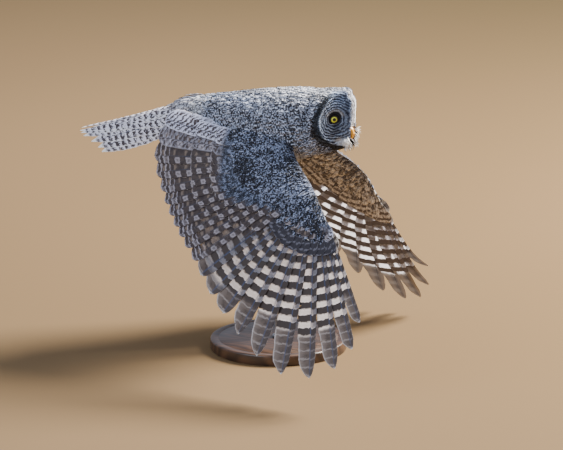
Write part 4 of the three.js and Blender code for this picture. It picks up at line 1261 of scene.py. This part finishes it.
def vaneMaterial(name, isTail=False):
    graph = Finish(name, Roughness=0.62, Specular_IOR_Level=0.22)
    blend, layered = graph.blend, graph.layered
    u, v = graph.map("vane")
    kind, seed, place, face, beyond = (
        graph.attribute(key) for key in ("kind", "seed", "pale", "face", "beyond"))
    tip = v * 1000
    centred = (u - 0.5) * 2
    across = centred.size()
    outer = centred.step(-0.04, 0.04)

    def isKind(key):
        return (kind - featherKinds[key]).size() < 0.5

    # barbs give every mark a finely jagged edge
    barbs = graph.grain(u * 3, v * 900 + across * 2, seed * 53, roughness=0.7)
    cloud = graph.grain(u * 7, v * 130, seed * 29)
    mottle = graph.grain(u * 16, v * 520, seed * 17, roughness=0.7)
    run = tip + beyond + (barbs - 0.5) * 3.6 + (cloud - 0.5) * 9 - across * across * 4 + outer * 3 + seed * 5
    rimmed = (across + (mottle - 0.5) * 0.15).step(0.86, 0.98)

    def bars(share):
        # pale in the first share of each bar's spacing
        cycle, edge = (run / vaneMarks["bar"]).fraction(), vaneMarks["edge"]
        return cycle.step(0, edge) * cycle.step(share + edge, share - edge)

    def thinBars(spacing, share):
        return near((run / spacing).fraction(), 0.5, share, share * 0.6)

    if isTail:
        blotch = (run / vaneMarks["tailBar"]).fraction() + (cloud - 0.5) * 1.2 + (mottle - 0.5) * 1.5
        blotch = (blotch + across * 0.25).step(0.52, 0.66)
        white = (tip.step(18, 8) * (1 - isKind("median"))).most(rimmed * 0.8)
        colour = layered(tint(64, 56, 60), (blotch, tint(226, 225, 240)), (white, tint(250, 250, 252)))
        passing = blotch * 0.06
    else:
        # primaries: broad mottled bars, then a dark tip with faint narrow bars
        dark = vaneMarks["darkTip"] + place.step(0.08, 0.5) * vaneMarks["darkGain"]
        dark = dark - place.step(0.72, 0.95) * vaneMarks["darkLoss"]
        inTip = (run - dark).step(6, -6)
        pale = bars(0.42) * (1 - inTip)
        inside = near((run / vaneMarks["bar"]).fraction(), 0.24, 0.13, 0.05) * (0.35 + mottle)
        barTint = layered(
            tint(212, 210, 216), ((mottle + cloud * 0.4).step(0.6, 0.86) * 0.6, tint(134, 131, 137)),
            (outer * 0.8, vaneTints["blue"]), (inside.least(1), tint(128, 124, 130)))
        primary = layered(
            vaneTints["brown"], (inTip, vaneTints["tip"]), (pale, barTint),
            ((cloud + mottle * 0.5).step(0.72, 0.9) * inTip * 0.6, tint(52, 44, 44)),
            (thinBars(vaneMarks["tipLine"], 0.09) * inTip * (0.25 + mottle * 0.6), tint(172, 164, 162)),
            ((1 - outer) * inTip * across.step(0.3, 1.0) * 0.35, tint(160, 148, 142)),
            (outer * inTip * 0.5, tint(46, 44, 54)),
            (near(centred, -0.02, 0.05, 0.04) * 0.8, tint(66, 77, 108)),
            (tip.step(6, 1).most(rimmed * inTip * 0.5 * (1 - outer)), vaneTints["edge"]))

        # the innermost secondaries are pale with narrow slanting brown bars
        slant = ((run + centred * 15) / vaneMarks["slant"] + cloud * 1.1).fraction()
        slant = near(slant, 0.5, 0.15 + cloud * 0.22, 0.07) * (0.5 + mottle)
        clump = (cloud * 0.7 + mottle * 0.5).step(0.58, 0.7) * near(centred, 0.1, 0.55, 0.25) * 0.8
        marks = slant.most(clump).least(1) * across.step(1.0, 0.7)
        tertial = blend(marks, tint(206, 210, 234), tint(58, 47, 46))

        # secondaries and greater coverts: rows of hollow squares, thin wavy bars at the tip
        row = ((run + 6) / vaneMarks["square"]).fraction()
        box = near(row, 0.5, 0.22, 0.05) * near(centred, 0.5, 0.36, 0.06)
        hollow = near(row, 0.5, 0.11, 0.06) * near(centred, 0.5, 0.18, 0.08)
        browner = near(row, 0.1, 0.13, 0.05) * near(centred, -0.2, 0.16, 0.06)
        atTip = tip.step(44, 30) * isKind("secondary")
        squares = (box - hollow * 0.55) * (1 - atTip * 0.5) * (0.35 + mottle * 1.1)
        secondary = layered(
            vaneTints["base"], (cloud.step(0.4, 0.62), tint(56, 49, 52)),
            (squares.least(1), vaneTints["square"]), (browner * 0.7, tint(128, 114, 104)),
            (thinBars(vaneMarks["wavyLine"], 0.13) * atTip * 0.6, vaneTints["lilac"]),
            (place.step(0.86, 0.99), tertial),
            (tip.step(4, 1) * (0.3 + 0.5 * isKind("secondary")), vaneTints["lilac"]))

        # primary coverts: dark with faint narrow rectangles
        rects = near(((run + 4) / vaneMarks["coverBar"]).fraction(), 0.5, 0.13, 0.05)
        rects = rects * near(across, 0.5, 0.4, 0.08)
        cover = layered(
            tint(50, 48, 56), (rects * 0.55, tint(126, 126, 140)), (rimmed * 0.3, tint(90, 94, 112)))

        # median coverts carry the rows on, mixed with the arm's flecks
        fleck = (mottle * 0.7 + cloud * 0.6).step(0.6, 0.8)
        median = layered(
            bodyTints["arm"], (fleck * 0.8, bodyTints["armLight"]), (tip.step(34, 12), secondary))

        # underside: white squares that let the light through, brown bars and buff coverts
        underBar = bars(0.5) * (1 - inTip * 0.85) * near(centred, -0.4, 0.6, 0.1).most(0.4)
        buff = (mottle + cloud * 0.6 - thinBars(vaneMarks["underLine"], 0.2) * 0.3).step(0.6, 0.9)
        covert = layered(tint(104, 94, 88), (buff, vaneTints["buff"]), (rimmed * 0.6, tint(226, 218, 206)))
        # the fingers' undersides are thin and pale away from the shaft
        under = layered(
            vaneTints["underBrown"], (underBar, vaneTints["white"]),
            (inTip * across.step(0.15, 0.6) * 0.6, tint(190, 178, 164)), (isKind("under"), covert),
            (near(centred, 0, 0.04, 0.03) * 0.7, tint(48, 40, 36)))

        below = face.step(0.2, -0.2)
        colour = layered(
            primary, (isKind("secondary").most(isKind("greater")), secondary),
            (isKind("primaryCover"), cover), (isKind("median"), median), (below.most(isKind("under")), under))
        primaryPale = pale * (1 - inside.least(1) * 0.6)
        passing = (primaryPale * 0.58).most(underBar * (0.5 + below * 0.4)).most(inTip * (0.03 + below * 0.2))
        passing = passing * isKind("primary").most(isKind("secondary") * 0.7)
    shade = (barbs - 0.5) * 0.35
    colour = blend(shade.most(0), colour, vaneTints["shade"])
    return graph.feed((passing + vaneMarks["passes"], vaneTints["passing"]),
                      Base_Color=colour, Normal=graph.bump(barbs, 0.25, 0.0006))


def shaftMaterial():
    graph = Finish("shaft", Roughness=0.4)
    _, v = graph.map("vane")
    return graph.feed(Base_Color=graph.blend(v.step(0.09, 0.02) * 0.5, vaneTints["shaft"], tint(96, 96, 104)))


eyeSizes = {
    "iris": 40.9, "pupil": 20.5, "lidClose": 6.5, "cornea": 0.55, "steps": 48,
    "lidOpen": 41, "lidEnd": 76, "lidInner": 11.2, "lidOuter": 12.5, "lidRows": 12,
}


def eyeMaterial():
    graph = Finish("eye", Roughness=0.08, Coat_Weight=1.0, Coat_Roughness=0.02)
    gaze = graph.attribute("gaze")
    rays = graph.flecks(900)
    edge = gaze / eyeSizes["iris"] + (rays - 0.5) * 0.12
    return graph.feed(Base_Color=graph.layered(
        tint(250, 255, 70), (edge.step(0.42, 0.9), tint(238, 246, 40)),
        (edge.step(0.9, 1.02) * 0.85, tint(60, 40, 8)),
        (gaze.step(eyeSizes["pupil"] + 0.7, eyeSizes["pupil"] - 0.7), tint(4, 4, 5)),
        (gaze.step(eyeSizes["iris"] - 0.5, eyeSizes["iris"] + 0.8), tint(20, 16, 14))))


def hornMaterial(name, pale, deep, roughness, scale):
    graph = Finish(name, Coat_Roughness=0.2)
    grain = graph.flecks(scale, detail=3.0, stretch=(1, 1, 0.35))
    colour = graph.blend(grain.step(0.35, 0.7), pale, deep)
    return graph.feed(Base_Color=colour, Roughness=grain * 0.2 + roughness, Coat_Weight=grain * 0.2 + 0.15,
                      Normal=graph.bump(grain, 0.15, 0.0004))


def woodMaterial():
    graph = Finish("wood", Coat_Roughness=0.22)
    place = graph.objectPlace()
    bend = graph.noise(place, 5.0, stretch=(1, 3, 1))
    _, y, z = graph.axes(place)
    rings = (y * 55 + bend * 5.5 + z * 12).wave()
    pores = graph.noise(place, 420, stretch=(0.06, 1, 1))
    colour = graph.layered(
        tint(44, 29, 21), (rings, tint(78, 53, 36)), (pores.step(0.6, 0.72) * 0.6, tint(24, 15, 11)))
    return graph.feed(Base_Color=colour, Roughness=pores * 0.25 + 0.3, Coat_Weight=rings * 0.1 + 0.25,
                      Normal=graph.bump(pores, 0.12, 0.0006))


def steelMaterial():
    graph = Finish("steel", Metallic=1.0)
    brushed = graph.flecks(500, stretch=(1, 1, 0.02))
    colour = graph.blend(brushed, tint(150, 152, 156), tint(196, 197, 200))
    return graph.feed(Base_Color=colour, Roughness=brushed * 0.16 + 0.24,
                      Normal=graph.bump(brushed, 0.05, 0.0002))


def floorMaterial():
    graph = Finish("floor", Roughness=0.9, Specular_IOR_Level=0.1)
    place = graph.objectPlace()
    drift = graph.noise(place, 0.35, stretch=(1, 0.4, 1))
    _, y, _ = graph.axes(place)
    return graph.feed(Base_Color=graph.layered(
        tint(110, 89, 62), (drift.step(0.35, 0.65), tint(121, 99, 72)),
        (y.step(1.4, 4.6) * 0.8, tint(84, 74, 52))))


coatColours = {
    "coatBody": bodyColour, "coatFace": faceColour, "coatTop": armColour, "coatRump": rumpColour,
    "coatBristles": bristleColour, "coatUnder": underColour, "coatLegs": legColour,
}
finish = {name: coatMaterial(name, colouring) for name, colouring in coatColours.items()}
finish |= {
    "skin": skinMaterial(), "vane": vaneMaterial("vane"), "tailVane": vaneMaterial("tailVane", isTail=True),
    "shaft": shaftMaterial(), "eye": eyeMaterial(), "wood": woodMaterial(), "steel": steelMaterial(),
    "bill": hornMaterial("bill", tint(240, 176, 62), tint(214, 138, 34), 0.3, 160),
    "claw": hornMaterial("claw", tint(34, 31, 33), tint(18, 16, 18), 0.28, 300),
    "lid": hornMaterial("lid", tint(26, 23, 24), tint(12, 11, 12), 0.5, 500),
    "floor": floorMaterial(),
}
print("materials made")


# Coats grown on the skin
tree = coatTree()
tufts = {name: tuftForm(name, rows) for name, rows in tuftShapes.items()}
for name, sizes in coats.items():
    inputs = {key.title(): value for key, value in sizes.items()}
    coat = grown(tree, name, skin, inputs | {"Tuft": tufts[sizes["tuft"]], "Finish": finish[name]})
    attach(coat, "root")
    "face" if name in ("coatFace", "coatBristles") else "plumage"
for tuft in tufts.values():
    bpy.data.objects.remove(tuft)
skin.data.materials.append(finish["skin"])
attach(skin, "root")
for name, piece in wings.items():
    for part in ("vane", "shaft"):
        piece.data.materials.append(finish[part])
    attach(piece, "root")
for part in ("tailVane", "shaft"):
    tail.data.materials.append(finish[part])
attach(tail, "root")
print("coats grown")


# Turned forms: eyes and lids about the line of sight, the stand about the upright

def lathe(name, profile, steps, attributes=None):
    # profile rows are radius and height; a radius of 0 closes an end
    turn = np.linspace(0, 2 * math.pi, steps, endpoint=False)
    profile = np.array(profile, float)
    radius, height = profile[:, :1], profile[:, 1:]
    points = np.stack([radius * np.cos(turn), radius * np.sin(turn), height + 0 * turn], -1)
    index = np.arange(points[..., 0].size).reshape(points.shape[:2])
    across = np.roll(index, -1, 1)
    quads = np.stack([index[:-1], across[:-1], across[1:], index[1:]], -1).reshape(-1, 4)
    extra = {key: np.repeat(values, steps) for key, values in (attributes or {}).items()}
    mesh = meshOf(name, points.reshape(-1, 3), quads, attributes=extra)
    weld(mesh)
    return mesh


def sightFrame(side):
    centre = eyeCentre(side) * mm + owlOrigin
    angle = math.radians(headSizes["eyeTurn"]) * side + math.radians(headSizes["turn"])
    ahead = Vector((math.cos(angle), math.sin(angle), 0))
    turn = ahead.to_track_quat("Z", "Y").to_matrix().to_4x4()
    return Matrix.Translation(Vector(centre)) @ turn @ Matrix.Scale(mm, 4)


def atEye(mesh, side, name):
    # a form turned about the line of sight, set in its place in the head
    mesh.transform(sightFrame(side))
    mesh.update()
    return linked(mesh, name + ("Right" if side < 0 else "Left"))


def eyeball(side):
    angles = np.concatenate([np.linspace(0, 60, 41), np.linspace(64, 180, 24)])
    bulge = eyeSizes["cornea"] * np.clip(1 - (angles / eyeSizes["iris"]) ** 2, 0, 1) ** 0.7
    radius = headSizes["eyeRadius"] + bulge
    turn = np.radians(angles)
    profile = np.stack([radius * np.sin(turn), radius * np.cos(turn)], 1)
    return atEye(lathe(f"eye_{side}", profile, eyeSizes["steps"], {"gaze": angles}), side, "eye")


def eyelids(side):
    # a soft closed ring; the upper edge hangs a little lower than a full round
    rows = np.linspace(0, 1, eyeSizes["lidRows"])
    angle = np.radians(mix(eyeSizes["lidOpen"], eyeSizes["lidEnd"], rows))
    puff = eyeSizes["lidOuter"] + 0.35 * np.sin(math.pi * np.minimum(rows * 2.2, 1))
    inner, outer = (np.stack([radius * np.sin(angle), radius * np.cos(angle)], 1)
                    for radius in (eyeSizes["lidInner"], puff))
    mesh = lathe(f"lid_{side}", np.concatenate([inner, outer[::-1], inner[:1]]), eyeSizes["steps"])
    for corner in mesh.vertices:
        # above and below the opening is a little narrower
        x, y, z = corner.co
        flat = math.hypot(x, y)
        polar = math.degrees(math.atan2(flat, z))
        share = np.clip((eyeSizes["lidEnd"] - polar) / (eyeSizes["lidEnd"] - eyeSizes["lidOpen"]), 0, 1)
        closed = math.radians(polar - eyeSizes["lidClose"] * share * (y / flat) ** 2)
        reach = math.hypot(flat, z)
        corner.co = (*(way / flat * reach * math.sin(closed) for way in (x, y)), reach * math.cos(closed))
    return atEye(mesh, side, "lids")


for side, name in ((-1, "right"), (1, "left")):
    ball, lids = eyeball(side), eyelids(side)
    ball.data.materials.append(finish["eye"])
    lids.data.materials.append(finish["lid"])
    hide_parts(f"eye_{name}")
    for piece in (ball, lids):
        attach(piece, "root")
print("eyes and lids made")


# Bill and claws, smoothed from the solids
hornSizes = {"bill": 0.0005, "claw": 0.0004, "smoothing": 4}


def hornForm(node, name, part):
    # a smooth piece in place of a solid of the bill or a claw
    horn = remeshed([frame["nodes"][node].data], name, hornSizes[part], hornSizes["smoothing"])
    horn.data.materials.append(finish[part])
    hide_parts(node)
    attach(horn, "root")


hornForm("bill_upper", "BillUpper", "bill")
hornForm("bill_lower", "BillLower", "bill")
for side in ("right", "left"):
    for toe in (1, 2, 3, 4):
        hornForm(f"claw_{side}_{toe}", f"talon{side.title()}{toe}", "claw")
print("bill and claws made")


# Stand: a round wooden base, a steel rod and the saddle under the breast
standSizes = {  # rows of foot and groove are inset and height or depth, those of the collar radius and height
    "radius": 0.15, "height": 0.024, "edge": 0.004, "foot": [(0.002, 0), (0.0005, 0.0006), (0, 0.002)],
    "groove": [(0.016, 0), (0.017, 0.0009), (0.019, 0.0009), (0.02, 0)],
    "gap": 0.0002, "rod": 0.0065, "rodTop": 0.4262,
    "collar": [(0.012, 0), (0.013, 0.001), (0.013, 0.005), (0.012, 0.006), (0.0071, 0.0064), (0.0065, 0.008)],
    "saddleVoxel": 0.0007, "saddleSmoothing": 2, "baseSteps": 128, "rodSteps": 48,
}


def standBase():
    radius, height, edge = (standSizes[key] for key in ("radius", "height", "edge"))
    turn = np.radians(np.linspace(0, 90, 7))
    profile = [(0, 0), *((radius - inset, rise) for inset, rise in standSizes["foot"])]
    profile += [(radius - edge + edge * math.cos(a), height - edge + edge * math.sin(a)) for a in turn]
    profile += [(radius - inset, height - sink) for inset, sink in standSizes["groove"]]
    profile += [(radius * share, height) for share in (0.6, 0.3, 0.1, 0)]
    return linked(lathe("base", profile, standSizes["baseSteps"]), "standBase")


def standRod():
    floor, top = standSizes["height"] + standSizes["gap"], standSizes["rodTop"]
    profile = [(0, floor), *((radius, floor + rise) for radius, rise in standSizes["collar"])]
    start = profile[-1][1]
    profile += [(standSizes["rod"], mix(start, top, t)) for t in np.linspace(0.1, 1, 12)] + [(0, top)]
    return linked(lathe("rod", profile, standSizes["rodSteps"]), "standRod")


saddleMesh = frame["nodes"]["stand_saddle"].data
saddle = remeshed([saddleMesh], "standSaddle", standSizes["saddleVoxel"], standSizes["saddleSmoothing"])
for piece, name, part, slot in (
        (standBase(), "stand_base", "wood", "stand_base"), (standRod(), "stand_rod", "steel", "stand_steel"),
        (saddle, "stand_saddle", "steel", "stand_steel")):
    piece.data.materials.append(finish[part])
    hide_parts(name)
    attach(piece, "root")
print("stand made")


# Light and ground
lights = {
    "key": {"place": (2.2, 2.4, 3.2), "size": 2.0, "power": 1150, "colour": (1.0, 0.94, 0.85)},
    "fill": {"place": (-1.8, -4.2, 2.4), "size": 3.0, "power": 165, "colour": (0.84, 0.91, 1.0)},
}
surroundings = {"lightAim": (0, 0, 0.4), "sky": (0.75, 0.82, 1.0), "skyStrength": 0.55, "groundHalf": 20.0}
for name, sizes in lights.items():
    data = bpy.data.lights.new(name, "AREA")
    data.shape, data.size, data.energy, data.color = "DISK", sizes["size"], sizes["power"], sizes["colour"]
    lamp = linked(data, name)
    lamp.location = sizes["place"]
    aim = lamp.location - Vector(surroundings["lightAim"])
    lamp.rotation_euler = aim.to_track_quat("Z", "Y").to_euler()
world = bpy.data.worlds.new("world")
world.use_nodes = True
background = world.node_tree.nodes["Background"].inputs
background["Color"].default_value = (*surroundings["sky"], 1)
background["Strength"].default_value = surroundings["skyStrength"]
bpy.context.scene.world = world

half = surroundings["groundHalf"]
corners = [(-half, -half, 0), (half, -half, 0), (half, half, 0), (-half, half, 0)]
ground = linked(meshOf("ground", corners, [(0, 1, 2, 3)]), "ground")
ground.data.materials.append(finish["floor"])
print("light and ground set")
